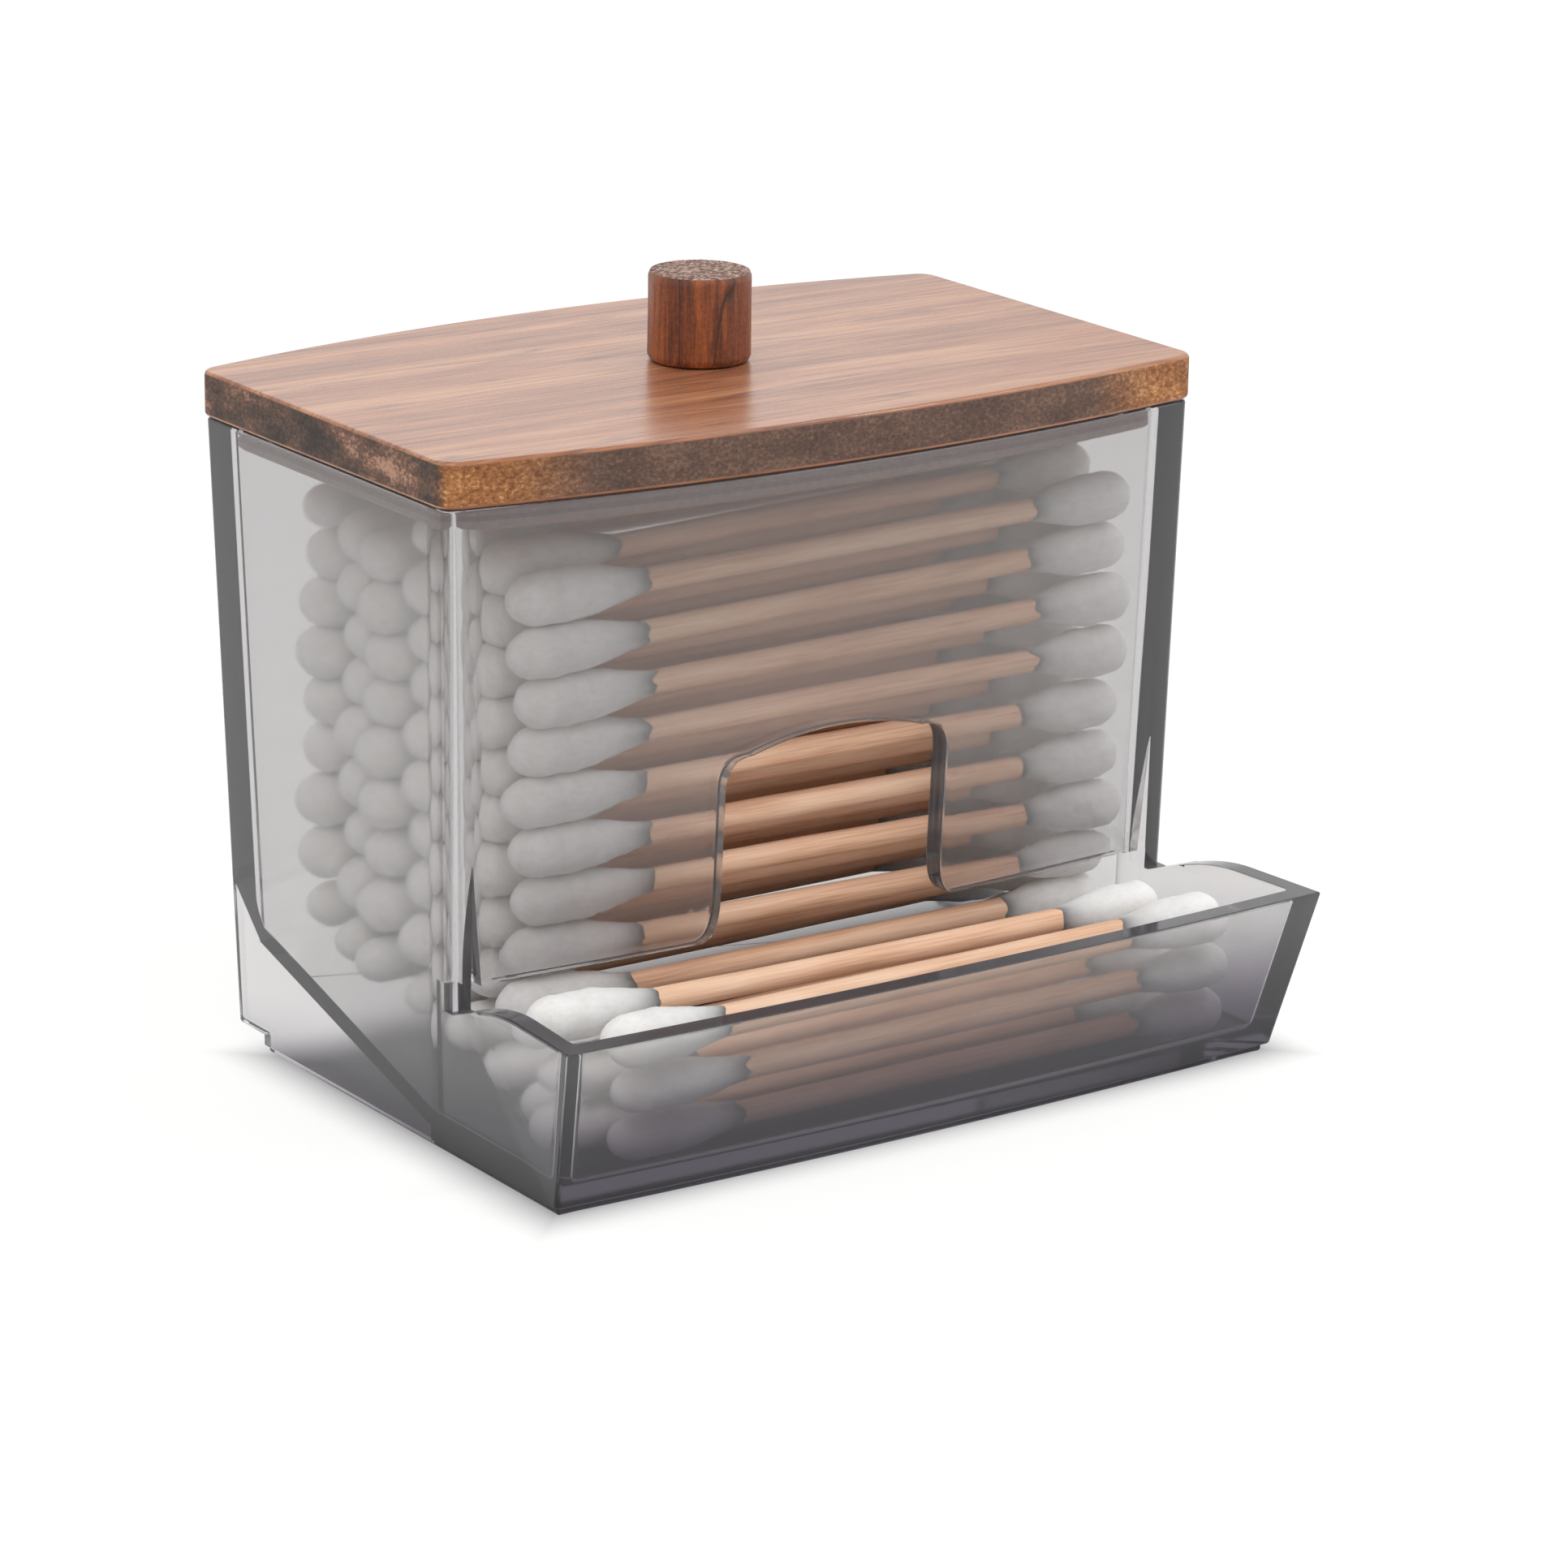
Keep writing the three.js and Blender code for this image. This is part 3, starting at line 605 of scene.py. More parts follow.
# Walnut dowel, turned and lacquered: reddish brown with dark fibres up and down, and a torn speckled top
knobWoodSettings = {
    "fibreSize": (0.5, 0.5, 8.0),
    "bandSize": (3.2, 3.2, 40.0),
    "speckleSize": (0.42, 0.42, 0.5),
    "crackSize": (6.0, 6.0, 90.0),
    "crackWidth": 0.008,
    "sideStops": [(0.38, "#aa5b28"), (0.5, "#743b20"), (0.6, "#3f1f13")],
    "crack": "#35190f",
    "topStops": [(0.4, "#3b261e"), (0.5, "#7a5747"), (0.6, "#c3a494")],
    "topMask": [(0.7, 0.0), (0.92, 1.0)],  # how far a face turns up
    "roughness": 0.36,
    "topRoughness": 0.7,
    "bumpStrength": 0.5,
    "bumpHeight": 0.2,
    "ior": 1.5,
}


def lacqueredDowel():
    s = knobWoodSettings
    material, tree = newMaterial("walnut_dowel_lacquered")
    fibre = blotches(tree, s["fibreSize"], detail=5.0, roughness=0.65)
    band = blotches(tree, s["bandSize"], detail=2.0)
    speckle = blotches(tree, s["speckleSize"], roughness=0.7)
    tone = weighed(tree, (fibre, 0.4), (band, 0.4), (speckle, 0.2))
    side = addNode(tree, "ValToRGB", {0: tone}, stops=s["sideStops"])
    crack = veins(tree, s["crackSize"], s["crackWidth"], detail=0.0)
    side = addNode(tree, "Mix", {0: crack, 6: side, 7: hexColour(s["crack"])}, 2, data_type="RGBA")
    top = addNode(tree, "ValToRGB", {0: speckle}, stops=s["topStops"])
    normal = addNode(tree, "NewGeometry", output="Normal")
    up = addNode(tree, "SeparateXYZ", {0: normal}, "Z")
    isTop = addNode(tree, "ValToRGB", {0: up}, stops=s["topMask"])
    colour = addNode(tree, "Mix", {0: isTop, 6: side, 7: top}, 2, data_type="RGBA")
    rough = addNode(tree, "Mix", {0: isTop, 2: s["roughness"], 3: s["topRoughness"]}, data_type="FLOAT")
    height = weighed(tree, (fibre, 0.7), (speckle, 0.4), (crack, -0.6))
    bump = addNode(tree, "Bump", {"Height": height, "Strength": s["bumpStrength"],
                                  "Distance": s["bumpHeight"] * mm})
    wood = addNode(tree, "BsdfPrincipled", {"Base Color": colour, "Roughness": rough, "IOR": s["ior"],
                                            "Normal": bump})
    addNode(tree, "OutputMaterial", {"Surface": wood})
    return material


# Silicone, moulded: grey, soft edged and slightly cloudy
siliconeSettings = {
    "grainSize": 0.7,
    "stops": [(0.3, "#967f78"), (0.7, "#aa938c")],
    "roughness": 0.48,
    "bumpStrength": 0.15,
    "bumpHeight": 0.05,
    "ior": 1.41,
}


def silicone():
    s = siliconeSettings
    material, tree = newMaterial("silicone_grey_moulded")
    grain = blotches(tree, (s["grainSize"],) * 3, detail=3.0)
    colour = addNode(tree, "ValToRGB", {0: grain}, stops=s["stops"])
    bump = addNode(tree, "Bump", {"Height": grain, "Strength": s["bumpStrength"],
                                  "Distance": s["bumpHeight"] * mm})
    rubber = addNode(tree, "BsdfPrincipled", {"Base Color": colour, "Roughness": s["roughness"],
                                              "IOR": s["ior"], "Normal": bump})
    addNode(tree, "OutputMaterial", {"Surface": rubber})
    return material


# Steel, cold headed and zinc plated: pale, with a faint brushed bloom
zincSettings = {
    "bloomSize": 1.2,
    "stops": [(0.3, "#a9aaa6"), (0.7, "#c9c9c2")],
    "roughness": [(0.3, 0.24), (0.7, 0.4)],
}


def zincSteel():
    s = zincSettings
    material, tree = newMaterial("steel_zinc_plated")
    bloom = blotches(tree, (s["bloomSize"],) * 3)
    colour = addNode(tree, "ValToRGB", {0: bloom}, stops=s["stops"])
    rough = addNode(tree, "ValToRGB", {0: bloom}, stops=s["roughness"])
    metal = addNode(tree, "BsdfPrincipled", {"Base Color": colour, "Roughness": rough, "Metallic": 1.0})
    addNode(tree, "OutputMaterial", {"Surface": metal})
    return material


# Birch stick, cut and tumbled: pale pinkish tan with fine streaks along it
stickWoodSettings = {
    "streakSize": (9.0, 0.28, 0.28),  # drawn coarser than the real 0.05 mm vessels, to show at all
    "cloudSize": (22.0, 5.0, 5.0),
    "stops": [(0.36, "#f9d7bb"), (0.52, "#edc09f"), (0.68, "#cc9a79")],
    "roughness": 0.62,
    "bumpStrength": 0.3,
    "bumpHeight": 0.06,
}


def birchStick():
    s = stickWoodSettings
    material, tree = newMaterial("birch_stick_tumbled")
    streak = blotches(tree, s["streakSize"], roughness=0.6)
    cloud = blotches(tree, s["cloudSize"], detail=2.0)
    tone = weighed(tree, (streak, 0.5), (cloud, 0.5))
    colour = addNode(tree, "ValToRGB", {0: tone}, stops=s["stops"])
    bump = addNode(tree, "Bump", {"Height": streak, "Strength": s["bumpStrength"],
                                  "Distance": s["bumpHeight"] * mm})
    wood = addNode(tree, "BsdfPrincipled", {"Base Color": colour, "Roughness": s["roughness"],
                                            "Normal": bump})
    addNode(tree, "OutputMaterial", {"Surface": wood})
    return material


# Cotton, carded and wound: white, matt and fuzzy, and light passes through its outer fibres
cottonSettings = {
    "fibreSize": (1.6, 0.7, 0.7),  # a bundle of fibres, since one of 0.02 mm doesn't show
    "tuftSize": 2.2,
    "stops": [(0.35, "#ebe8e3"), (0.6, "#fbf9f6")],
    "roughness": 0.95,
    "softness": 0.85,  # share of the light that goes in and comes out elsewhere
    "depth": 2.6,  # mm that it goes in
    "fuzz": 0.25,
    "fuzzRoughness": 0.5,
    "bumpStrength": 0.35,
    "bumpHeight": 0.25,
}


def woundCotton():
    s = cottonSettings
    material, tree = newMaterial("cotton_wound")
    fibre = blotches(tree, s["fibreSize"], roughness=0.7, distortion=0.8)
    tuft = blotches(tree, (s["tuftSize"],) * 3, detail=3.0)
    tone = weighed(tree, (fibre, 0.5), (tuft, 0.5))
    colour = addNode(tree, "ValToRGB", {0: tone}, stops=s["stops"])
    bump = addNode(tree, "Bump", {"Height": tone, "Strength": s["bumpStrength"],
                                  "Distance": s["bumpHeight"] * mm})
    cotton = addNode(tree, "BsdfPrincipled", {
        "Base Color": colour, "Roughness": s["roughness"], "Subsurface Weight": s["softness"],
        "Subsurface Radius": (1, 1, 1), "Subsurface Scale": s["depth"] * mm,
        "Sheen Weight": s["fuzz"], "Sheen Roughness": s["fuzzRoughness"], "Normal": bump})
    addNode(tree, "OutputMaterial", {"Surface": cotton})
    return material


# Hopper and tray

body = buildBody()
roundEdges(body)
shadeSmooth(body, hopperSizes["creaseAngle"])
moveToFrame(body)
finishPiece(body, "hopper_and_tray", smokeAcrylic(), "dispenser", "smoke_plastic", "body")
print("hopper and tray made")


# Lid: a board, the panel under it, a ring, a knob and its screw

lidSizes = {
    "thickness": 4.7,
    "overhang": 0.4,
    "corner": 2.2,
    "ease": 0.45,
    "seat": 0.2,
    "plugHeight": 3.4,
    "plugGap": 1.6,
    "plugEase": 0.5,
    "sealHeight": 2.4,
    "sealDrop": 0.4,
    "sealClearance": 0.3,
    "sealSnug": 0.25,
    "sealEase": 0.25,
    "grooveHeights": (0.85, 1.15, 1.45),  # from the ring's underside to the groove between its ribs
    "grooveDepth": 0.3,
    "easeSteps": 4,
    "creaseAngle": math.radians(28),
}
lidBottom = hopperSizes["rimHeight"] + lidSizes["seat"]
lidTop = lidBottom + lidSizes["thickness"]
plugBottom = lidBottom - lidSizes["plugHeight"]
lidMiddleY = (hopperSizes["rimDepth"] + hopperSizes["rimBackBow"] - hopperSizes["rimFrontBow"]) / 2


# Rings that run up a side with both edges eased: pairs of height and inset
def easedSide(low, high, ease, steps):
    angles = [i / steps * math.pi / 2 for i in range(steps + 1)]
    turn = [(1 - math.cos(angle), 1 - math.sin(angle)) for angle in angles]
    rise = [(low + ease * up, ease * inward) for up, inward in turn]
    return rise + [(high - ease * up, ease * inward) for up, inward in turn[::-1]]


def buildLid():
    s, h = lidSizes, hopperSizes

    def board(z, inset):
        return outline(hopperSection(h["rimHeight"], inset - s["overhang"], s["corner"] - inset), z)

    def plug(z, inset):
        return outline(hopperSection(h["rimHeight"], h["wall"] + s["plugGap"] + inset, h["innerCorner"]), z)

    lid = loft([board(z, i) for z, i in easedSide(lidBottom, lidTop, s["ease"], s["easeSteps"])])
    plugTop = lidBottom + s["ease"]
    sides = easedSide(plugBottom, plugTop + s["ease"], s["plugEase"], s["easeSteps"])
    under = loft([plug(z, i) for z, i in sides[:s["easeSteps"] + 1]] + [plug(plugTop, 0)])
    combine(lid, under, "UNION")
    combine(lid, screwHole(), "DIFFERENCE")
    return lid


def buildRing():
    s, h = lidSizes, hopperSizes
    top = lidBottom - s["sealDrop"]
    bottom = top - s["sealHeight"]

    def ring(z, inset):
        return outline(hopperSection(h["rimHeight"], inset, h["innerCorner"]), z)

    outer = h["wall"] + s["sealClearance"]
    inner = h["wall"] + s["plugGap"] - s["sealSnug"]
    ease = s["sealEase"]
    low, middle, high = [bottom + up for up in s["grooveHeights"]]
    side = [(bottom, ease), (bottom + ease, 0.0), (low, 0.0), (middle, s["grooveDepth"]),
            (high, 0.0), (top - ease, 0.0), (top, ease)]
    seal = loft([ring(z, outer + extra) for z, extra in side])
    hole = loft([ring(z, inner) for z in (bottom - h["overrun"], top + h["overrun"])])
    return combine(seal, hole, "DIFFERENCE")


knobSizes = {
    "diameter": 10.7,
    "height": 9.4,
    "ease": 0.6,
    "easeTurn": (1 / 3, 0.3),  # share of the ease where it turns, at the bottom and at the top
    "seat": 0.05,
    "wobble": 0.12,  # how far the dowel is off round
    "wobbleTurn": 2.2,  # how often that changes round it
    "wobbleRise": 0.04,
    "furrow": 0.05,  # depth of the furrows that run up and down
    "furrowTurn": 9.0,
    "furrowRise": 0.15,
    "topShares": (0.85, 0.7, 0.55, 0.4, 0.25, 0.1, 0.01),  # of the radius, for the rings of the top
    "topDrop": (0.04, 0.08),  # how far the top lies down, at its edge and inside
    "tear": 0.06,  # how deep the saw tore the top
    "tearSize": 0.8,
    "tearFrom": 0.1,  # under the full height
    "sides": 72,
    "rows": 26,
}
screwSizes = {
    "diameter": 3.0,
    "headDiameter": 6.4,
    "headDepth": 1.9,
    "headEase": (0.15, 0.2),  # in and up
    "neck": 2.2,  # plain shank under the thread
    "grip": 7.0,
    "point": 1.6,
    "pointTurn": (0.55, 0.4),  # share of the radius, and of the point's length, where it gets blunt
    "pointPlain": 0.5,  # share of the point's length that has no thread
    "tipRadius": 0.05,
    "clearance": 0.3,
    "driveWidth": 0.9,
    "driveLength": 3.6,
    "driveDepth": 0.8,
    "threadPitch": 1.1,
    "threadDepth": 0.32,
    "threadCrest": 5.0,  # how steep a turn rises, against the pitch
    "threadRows": 120,
    "sides": 36,
}


# Rings round the knob's axis. The shape adds to the radius by angle and height.
def turnedRings(profile, sides, shape=None):
    rings = []
    for radius, z in profile:
        ring = []
        for i in range(sides):
            angle = 2 * math.pi * i / sides
            r = radius + (shape(angle, z) if shape else 0)
            ring.append((r * math.cos(angle), lidMiddleY + r * math.sin(angle), z))
        rings.append(ring)
    return rings


def screwHole():
    s = screwSizes
    gap = s["clearance"]
    tip = lidTop + knobSizes["seat"] + s["grip"] + gap
    head = s["headDiameter"] / 2 + gap
    radius = s["diameter"] / 2 + gap
    profile = [(head, plugBottom - hopperSizes["overrun"]), (head, plugBottom + gap),
               (radius, plugBottom + s["headDepth"] + gap), (radius, tip - s["point"]),
               (s["tipRadius"], tip)]
    return loft(turnedRings(profile, s["sides"]))


def buildKnob():
    s = knobSizes
    bottom = lidTop + s["seat"]
    top = bottom + s["height"]
    radius, ease = s["diameter"] / 2, s["ease"]
    low, high = [ease * share for share in s["easeTurn"]]
    edgeDrop, innerDrop = s["topDrop"]
    profile = [(radius - ease, bottom), (radius - low, bottom + low)]
    for i in range(s["rows"] + 1):
        profile.append((radius, bottom + ease + (s["height"] - 2 * ease) * i / s["rows"]))
    profile += [(radius - high, top - high), (radius - ease, top - edgeDrop)]
    profile += [(radius * share, top - innerDrop) for share in s["topShares"]]

    def offRound(angle, z):
        cos, sin = math.cos(angle), math.sin(angle)
        slow = Vector((cos, sin, z * s["wobbleRise"])) * s["wobbleTurn"]
        fine = Vector((cos * s["furrowTurn"], sin * s["furrowTurn"], z * s["furrowRise"]))
        return -s["wobble"] * (0.5 + 0.5 * noise.noise(slow)) - s["furrow"] * abs(noise.noise(fine))

    knob = loft(turnedRings(profile, s["sides"], offRound))
    for vertex in knob.data.vertices:
        if vertex.co.z > (top - s["tearFrom"]) * mm:
            torn = noise.noise(vertex.co / (s["tearSize"] * mm)) - 1
            vertex.co.z += s["tear"] * mm * torn
    return combine(knob, screwHole(), "DIFFERENCE")


def buildScrew():
    s = screwSizes
    bottom = plugBottom + s["clearance"]
    tip = lidTop + knobSizes["seat"] + s["grip"]
    head, radius = s["headDiameter"] / 2, s["diameter"] / 2
    threadStart = bottom + s["headDepth"] + s["neck"]
    threadEnd = tip - s["point"]
    easeIn, easeUp = s["headEase"]
    thinner, lower = s["pointTurn"]
    profile = [(head - easeIn, bottom), (head, bottom + easeUp), (radius, bottom + s["headDepth"])]
    for i in range(s["threadRows"] + 1):
        profile.append((radius, threadStart + (threadEnd - threadStart) * i / s["threadRows"]))
    profile += [(radius * thinner, tip - s["point"] * lower), (s["tipRadius"], tip)]

    def thread(angle, z):
        if z < threadStart or z > tip - s["point"] * s["pointPlain"]:
            return 0
        phase = (z / s["threadPitch"] - angle / (2 * math.pi)) % 1
        crest = max(0, 1 - abs(phase - 0.5) * s["threadCrest"])
        return -s["threadDepth"] * (1 - crest)

    screw = loft(turnedRings(profile, s["sides"], thread))
    for length, width in ((s["driveLength"], s["driveWidth"]), (s["driveWidth"], s["driveLength"])):
        left, right = -length / 2, length / 2
        front, back = lidMiddleY - width / 2, lidMiddleY + width / 2
        corners = [(left, front), (right, front), (right, back), (left, back)]
        heights = (bottom - s["driveDepth"], bottom + s["driveDepth"])
        slot = loft([[(x, y, z) for x, y in corners] for z in heights])
        combine(screw, slot, "DIFFERENCE")
    return screw


lid = buildLid()
ring = buildRing()
knob = buildKnob()
screw = buildScrew()
for piece in (lid, ring, knob, screw):
    shadeSmooth(piece, lidSizes["creaseAngle"])
    moveToFrame(piece)
finishPiece(lid, "lid_with_panel", varnishedLid(), "lid", "lid_wood", "lid_board")
finishPiece(ring, "seal_ring_ribbed", silicone(), "lid", "silicone", "lid_seal_ring")
finishPiece(knob, "knob_dowel", lacqueredDowel(), "lid", "knob_wood", "knob")
finishPiece(screw, "screw_threaded", zincSteel(), "lid", "screw_steel", "knob_screw")
print("lid made")


# Swabs: a few hand wound ones, laid where the solids lie

swabSizes = {
    "length": 75.0,
    "stickDiameter": 2.45,
    "stickInset": 4.0,  # from the end of the swab to the end of its stick
    "stickRough": 0.035,  # share of the radius by which it is uneven
    "stickGrain": (0.12, 1.6),  # how often that changes, along it and round it
    "bend": 0.4,  # how far a stick is off straight
    "budDiameter": 4.95,
    "budLeast": 0.95,  # the thinnest bud against that
    "budLength": {-1: (15.5, 18.5), 1: (13.0, 15.0)},  # the left ends are wound longer
    "budTip": 0.2,  # share of its length that is round
    "budTaper": 0.38,  # share of its length where it starts to get thinner
    "budEnd": 0.93,  # how thick it ends, against the stick
    "tuft": 0.14,  # how far the cotton is uneven
    "tuftGrain": (0.55, 1.7),
    "fineTuft": (0.5, 2.7),  # how high and how often the finer tufts come, against the coarse ones
    "strand": 0.035,  # height of the wound strands
    "strandTurn": 1.9,
    "fray": 0.05,  # share of a bud's length by which its end is uneven
    "frayTurn": 1.2,
    "frayMean": 0.6,
    "kindStep": {"stick": 7, "fray": 5, "tuft": 11},  # keeps the kinds from being alike
    "kinds": 5,  # of each build
    "builds": {"firm": (1.0, 1.0), "tall": (1.0, 1.13), "full": (1.3, 1.18)},  # a bud's width and height
    "budSides": 28,
    "budRows": 28,
    "tipCrowding": 1.5,  # draws the rows towards the tip
    "firstRow": 0.0005,  # share of a bud's length
    "leastRadius": 0.02,
    "stickSides": 28,
    "stickRows": 24,
    "endDepth": 0.5,  # what counts as an end of the solid
    "pairDepth": 0.8,  # share of a bud's width beyond which an end is two swabs side by side
    "headroom": 1.5,  # a swab nearer than this to the lid stays firm
    "seed": 7,
}


# How round the tip is and how full the bud, by the share of its length
def budShape(share):
    tipLength, taperStart = swabSizes["budTip"], swabSizes["budTaper"]
    tip = math.sqrt(max(0.0, 1 - (1 - min(share / tipLength, 1)) ** 2))
    if share < taperStart:
        return tip, 1
    thinning = min(1, (share - taperStart) / (1 - taperStart))
    return tip, 0.5 + 0.5 * math.cos(math.pi * thinning)


def swabMesh(kind, build, chance):
    s = swabSizes
    shift = {part: kind * step for part, step in s["kindStep"].items()}
    bm = bmesh.new()
    half, stick = s["length"] / 2, s["stickDiameter"] / 2
    bend = s["bend"] * chance.uniform(-1, 1)
    bendTurn = chance.uniform(0, 2 * math.pi)

    def centre(x):
        sag = bend * (1 - (x / half) ** 2)
        return sag * math.cos(bendTurn), sag * math.sin(bendTurn)

    def tube(rows, sides, radiusAt, materialIndex):
        rings = []
        for x in rows:
            cy, cz = centre(x)
            ring = []
            for i in range(sides):
                angle = 2 * math.pi * i / sides
                r = radiusAt(x, angle)
                place = Vector((x, cy + r * math.cos(angle), cz + r * math.sin(angle)))
                ring.append(bm.verts.new(place * mm))
            rings.append(ring)
        faces = []
        for low, high in zip(rings, rings[1:]):
            for i in range(sides):
                j = (i + 1) % sides
                faces.append(bm.faces.new((low[j], low[i], high[i], high[j])))
        faces.append(bm.faces.new(rings[0]))
        faces.append(bm.faces.new(rings[-1][::-1]))
        for face in faces:
            face.material_index = materialIndex
            face.smooth = True

    def stickRadius(x, angle):
        along, around = s["stickGrain"]
        place = Vector((x * along, math.cos(angle) * around, math.sin(angle) * around + shift["stick"]))
        return stick * (1 + s["stickRough"] * noise.noise(place))

    def fluffAt(x, angle):
        along, around = s["tuftGrain"]
        height, often = s["fineTuft"]
        place = Vector((x * along, math.cos(angle) * around, math.sin(angle) * around + shift["tuft"]))
        tufts = noise.noise(place) + height * noise.noise(place * often)
        return s["tuft"] * tufts + s["strand"] * math.sin(angle + x * s["strandTurn"])

    wide, tall = s["builds"][build]
    reach = half - s["stickInset"]
    tube([-reach + 2 * reach * i / s["stickRows"] for i in range(s["stickRows"] + 1)],
         s["stickSides"], stickRadius, 0)
    for side in (-1, 1):
        budLength = chance.uniform(*s["budLength"][side])
        bud = s["budDiameter"] / 2 * chance.uniform(s["budLeast"], 1.0) - s["tuft"] / 2
        twist = chance.uniform(0, 2 * math.pi)

        def cottonRadius(x, angle):
            cos, sin = math.cos(angle), math.sin(angle)
            edge = Vector((cos * s["frayTurn"], sin * s["frayTurn"], shift["fray"] + side))
            fray = 1 + s["fray"] * (s["frayMean"] + noise.noise(edge))
            tip, taper = budShape((half - side * x) / budLength * fray)
            full = bud * math.hypot(wide * cos, tall * sin)
            end = stick * s["budEnd"]
            radius = (end + (full - end) * taper) * tip
            return max(s["leastRadius"], radius + tip * taper * fluffAt(x, angle + twist))

        rows = []
        for i in range(s["budRows"] + 1):
            share = (i / s["budRows"]) ** s["tipCrowding"]
            rows.append(side * (half - budLength * max(share, s["firstRow"])))
        tube(sorted(rows), s["budSides"], cottonRadius, 1)
    return meshFrom(bm, f"swab_{build}_{kind}")


# The middle of each swab in a solid, and the way from its left end to its right end.
# A solid of two is split by y.
def linesOf(node):
    s = swabSizes
    points = [vertex.co for vertex in frame["nodes"][node].data.vertices]
    left = min(point.x for point in points) + s["endDepth"] * mm
    right = max(point.x for point in points) - s["endDepth"] * mm

    def middles(group):
        front, back = min(point.y for point in group), max(point.y for point in group)
        if back - front < s["pairDepth"] * s["budDiameter"] * mm:
            return [sum(group, Vector()) / len(group)]
        between = (front + back) / 2
        halves = [p for p in group if p.y < between], [p for p in group if p.y >= between]
        return [sum(one, Vector()) / len(one) for one in halves]

    starts = middles([point for point in points if point.x < left])
    ends = middles([point for point in points if point.x > right])
    return [((start + end) / 2, (end - start).normalized()) for start, end in zip(starts, ends)]


# Buds inside the pile swell wide and tall, and those by the front wall only tall.
# The lowest, those right under the lid and those in the tray stay as they were wound.
def buildFor(node):
    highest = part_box("lid_board")[0].z - swabSizes["headroom"] * mm
    if not node.startswith("hopper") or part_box(node)[1].z > highest:
        return "firm"
    stack, layer = node.split("_")[2:]
    if layer == "1":
        return "firm"
    return "tall" if stack == "1" else "full"


chance = random.Random(swabSizes["seed"])
swabMaterials = [birchStick(), woundCotton()]
swabMeshes = {build: [swabMesh(kind, build, chance) for kind in range(swabSizes["kinds"])]
              for build in swabSizes["builds"]}
for mesh in sum(swabMeshes.values(), []):
    for material in swabMaterials:
        mesh.materials.append(material)

bodies = frame["record"]["behaviour"]["bodies"]
swabBody = {node: name for name, members in bodies.items() for node in members}
for node in sorted(name for name in frame["nodes"] if "swab" in name):
    for number, (middle, along) in enumerate(linesOf(node)):
        swab = newObject(f"wound_{node}" + "_front" * number, chance.choice(swabMeshes[buildFor(node)]))
        facing = along.to_track_quat("X", "Z").to_matrix().to_4x4()
        turn = Matrix.Rotation(chance.choice((0, math.pi)), 4, "X")
        swab.matrix_world = Matrix.Translation(middle) @ facing @ turn
        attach(swab, swabBody[node])
        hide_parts(node)
print("swabs laid")


# Floor, light and camera

studio = {
    "floorSize": 6.0,  # metres
    "floorDrop": 0.03 * mm,
    "paper": (0.9, 0.9, 0.89, 1.0),  # the floor as the object sees it
    "white": (1.0, 1.0, 0.99, 1.0),  # the floor's glow and the sky as the camera sees them
    "floorGlow": 0.78,  # how much of the floor's white the camera sees without light
    "litPaper": "#8c8c8b",
    "coveredPaper": "#5a5861",  # painted shade: the floor darker under the box, where the plastic keeps the light off
    "footMiddle": (0.0, -4.5, 0.0),  # mm, the place where the box stands, with no glow and with painted shade
    "footHalf": (44.0, 27.0, 0.0),
    "footSoftness": 6.0,
    "skyLight": 0.75,
    "lampTarget": (0.0, 0.0, 0.035),
    "lamps": {  # places and sizes in metres, power in watts
        "key": {"place": (-0.45, -0.35, 0.75), "size": 0.55, "power": 2.0},
        "fill": {"place": (0.6, -0.55, 0.35), "size": 0.5, "power": 0.7},
        "back": {"place": (0.25, 0.7, 0.6), "size": 0.6, "power": 1.0},
        "glint": {"place": (0.45, -0.18, 0.65), "size": 0.15, "power": 0.8},  # lines on the front edges
    },
}


# 1 where the camera, a reflection or clear plastic looks at the background
def seesBackground(tree):
    path = addNode(tree, "LightPath").node.outputs
    seen = addNode(tree, "Math", {0: path["Is Camera Ray"], 1: path["Is Glossy Ray"]}, operation="MAXIMUM")
    return addNode(tree, "Math", {0: seen, 1: path["Is Transmission Ray"]}, operation="MAXIMUM")


# 0 on the floor under the box, 1 away from it; it masks the glow and the painted shade
def clearOfBox(tree):
    s = studio
    place = addNode(tree, "TexCoord", output="Object")
    middle, half = [[one * mm for one in s[key]] for key in ("footMiddle", "footHalf")]
    offset = addNode(tree, "VectorMath", {0: place, 1: middle}, operation="SUBTRACT")
    away = addNode(tree, "VectorMath", {0: offset}, operation="ABSOLUTE")
    past = addNode(tree, "VectorMath", {0: away, 1: half}, operation="SUBTRACT")
    axes = addNode(tree, "SeparateXYZ", {0: past}).node.outputs
    furthest = addNode(tree, "Math", {0: axes["X"], 1: axes["Y"]}, operation="MAXIMUM")
    soft = s["footSoftness"] * mm
    return addNode(tree, "MapRange", {"Value": furthest, "From Min": -soft, "From Max": soft},
                   interpolation_type="SMOOTHSTEP")


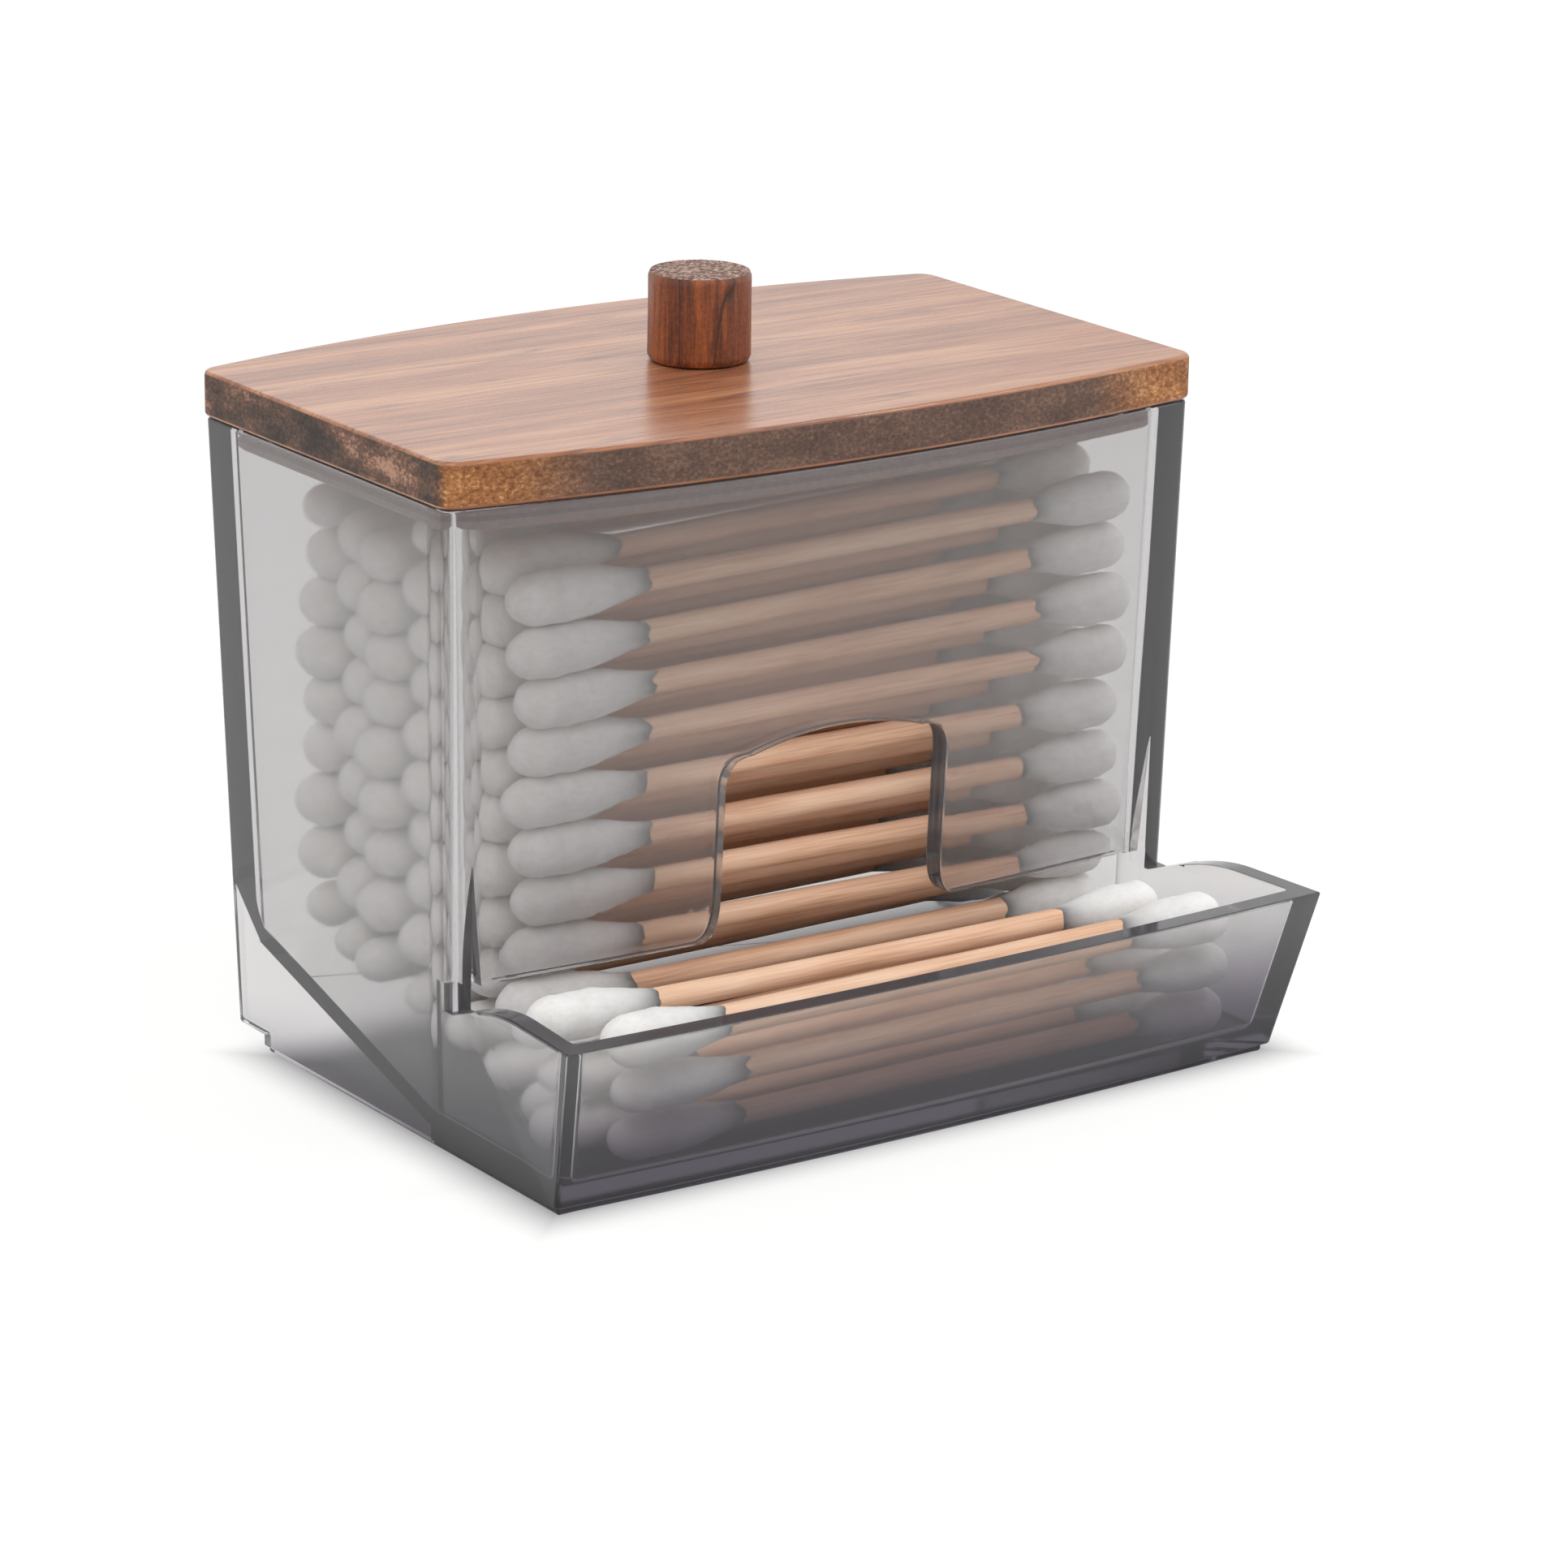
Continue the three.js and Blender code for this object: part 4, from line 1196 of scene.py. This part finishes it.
def makeFloor():
    s = studio
    size = s["floorSize"] / 2
    bm = bmesh.new()
    corners = [(-size, -size), (size, -size), (size, size), (-size, size)]
    bm.faces.new([bm.verts.new((x, y, -s["floorDrop"])) for x, y in corners])
    floor = newObject("studio_floor", meshFrom(bm, "studio_floor"))
    material, tree = newMaterial("studio_paper")
    diffuse = addNode(tree, "BsdfDiffuse", {"Color": s["paper"]})
    clear = clearOfBox(tree)
    strength = addNode(tree, "Math", {0: clear, 1: s["floorGlow"]}, operation="MULTIPLY")
    glow = addNode(tree, "Emission", {"Color": s["white"], "Strength": strength})
    # painted shade: the floor's colour is darker under the box
    paper = addNode(tree, "ValToRGB", {0: clear}, stops=[(0.0, s["coveredPaper"]), (1.0, s["litPaper"])])
    dimmed = addNode(tree, "BsdfDiffuse", {"Color": paper})
    both = addNode(tree, "AddShader", {0: dimmed, 1: glow})
    surface = addNode(tree, "MixShader", {0: seesBackground(tree), 1: diffuse, 2: both})
    addNode(tree, "OutputMaterial", {"Surface": surface})
    floor.data.materials.append(material)


def makeSky():
    world = bpy.data.worlds.new("studio_sky")
    scene.world = world
    world.use_nodes = True
    tree = world.node_tree
    tree.nodes.clear()
    light = addNode(tree, "Background", {"Color": (1, 1, 1, 1), "Strength": studio["skyLight"]})
    white = addNode(tree, "Background", {"Color": studio["white"], "Strength": 1.0})
    mixed = addNode(tree, "MixShader", {0: seesBackground(tree), 1: light, 2: white})
    addNode(tree, "OutputWorld", {"Surface": mixed})


def makeLamps():
    target = Vector(studio["lampTarget"])
    for name, s in studio["lamps"].items():
        lamp = bpy.data.lights.new(name, "AREA")
        lamp.shape = "SQUARE"
        lamp.size = s["size"]
        lamp.energy = s["power"]
        holder = bpy.data.objects.new(name, lamp)
        holder.location = s["place"]
        holder.rotation_euler = (target - Vector(s["place"])).to_track_quat("-Z", "Y").to_euler()
        scene.collection.objects.link(holder)


camera = {
    "place": (-317.57, -456.55, 199.13),  # mm, in the frame
    "yaw": math.radians(35.19),  # from straight at the front towards the right
    "pitch": math.radians(17.11),
    "roll": math.radians(0.90),
    "focalPixels": 6986.0,
    "imagePixels": 1932.0,
    "sensor": 36.0,
    "nearest": 0.01,  # metres
}


def makeCamera():
    s = camera
    yaw, pitch, roll = s["yaw"], s["pitch"], s["roll"]
    forward = Vector((math.sin(yaw) * math.cos(pitch), math.cos(yaw) * math.cos(pitch), -math.sin(pitch)))
    right = Vector((math.cos(yaw), -math.sin(yaw), 0))
    up = right.cross(forward)
    rolledRight = right * math.cos(roll) + up * math.sin(roll)
    rolledUp = up * math.cos(roll) - right * math.sin(roll)
    data = bpy.data.cameras.new("camera")
    data.sensor_width = s["sensor"]
    data.lens = s["focalPixels"] / s["imagePixels"] * s["sensor"]
    data.clip_start = s["nearest"]
    holder = bpy.data.objects.new("camera", data)
    scene.collection.objects.link(holder)
    turn = Matrix((rolledRight, rolledUp, -forward)).transposed()
    holder.matrix_world = Matrix.Translation(Vector(s["place"]) * mm) @ turn.to_4x4()
    scene.camera = holder


makeFloor()
makeSky()
makeLamps()
makeCamera()
scene.view_settings.view_transform = "Standard"
print("studio made")
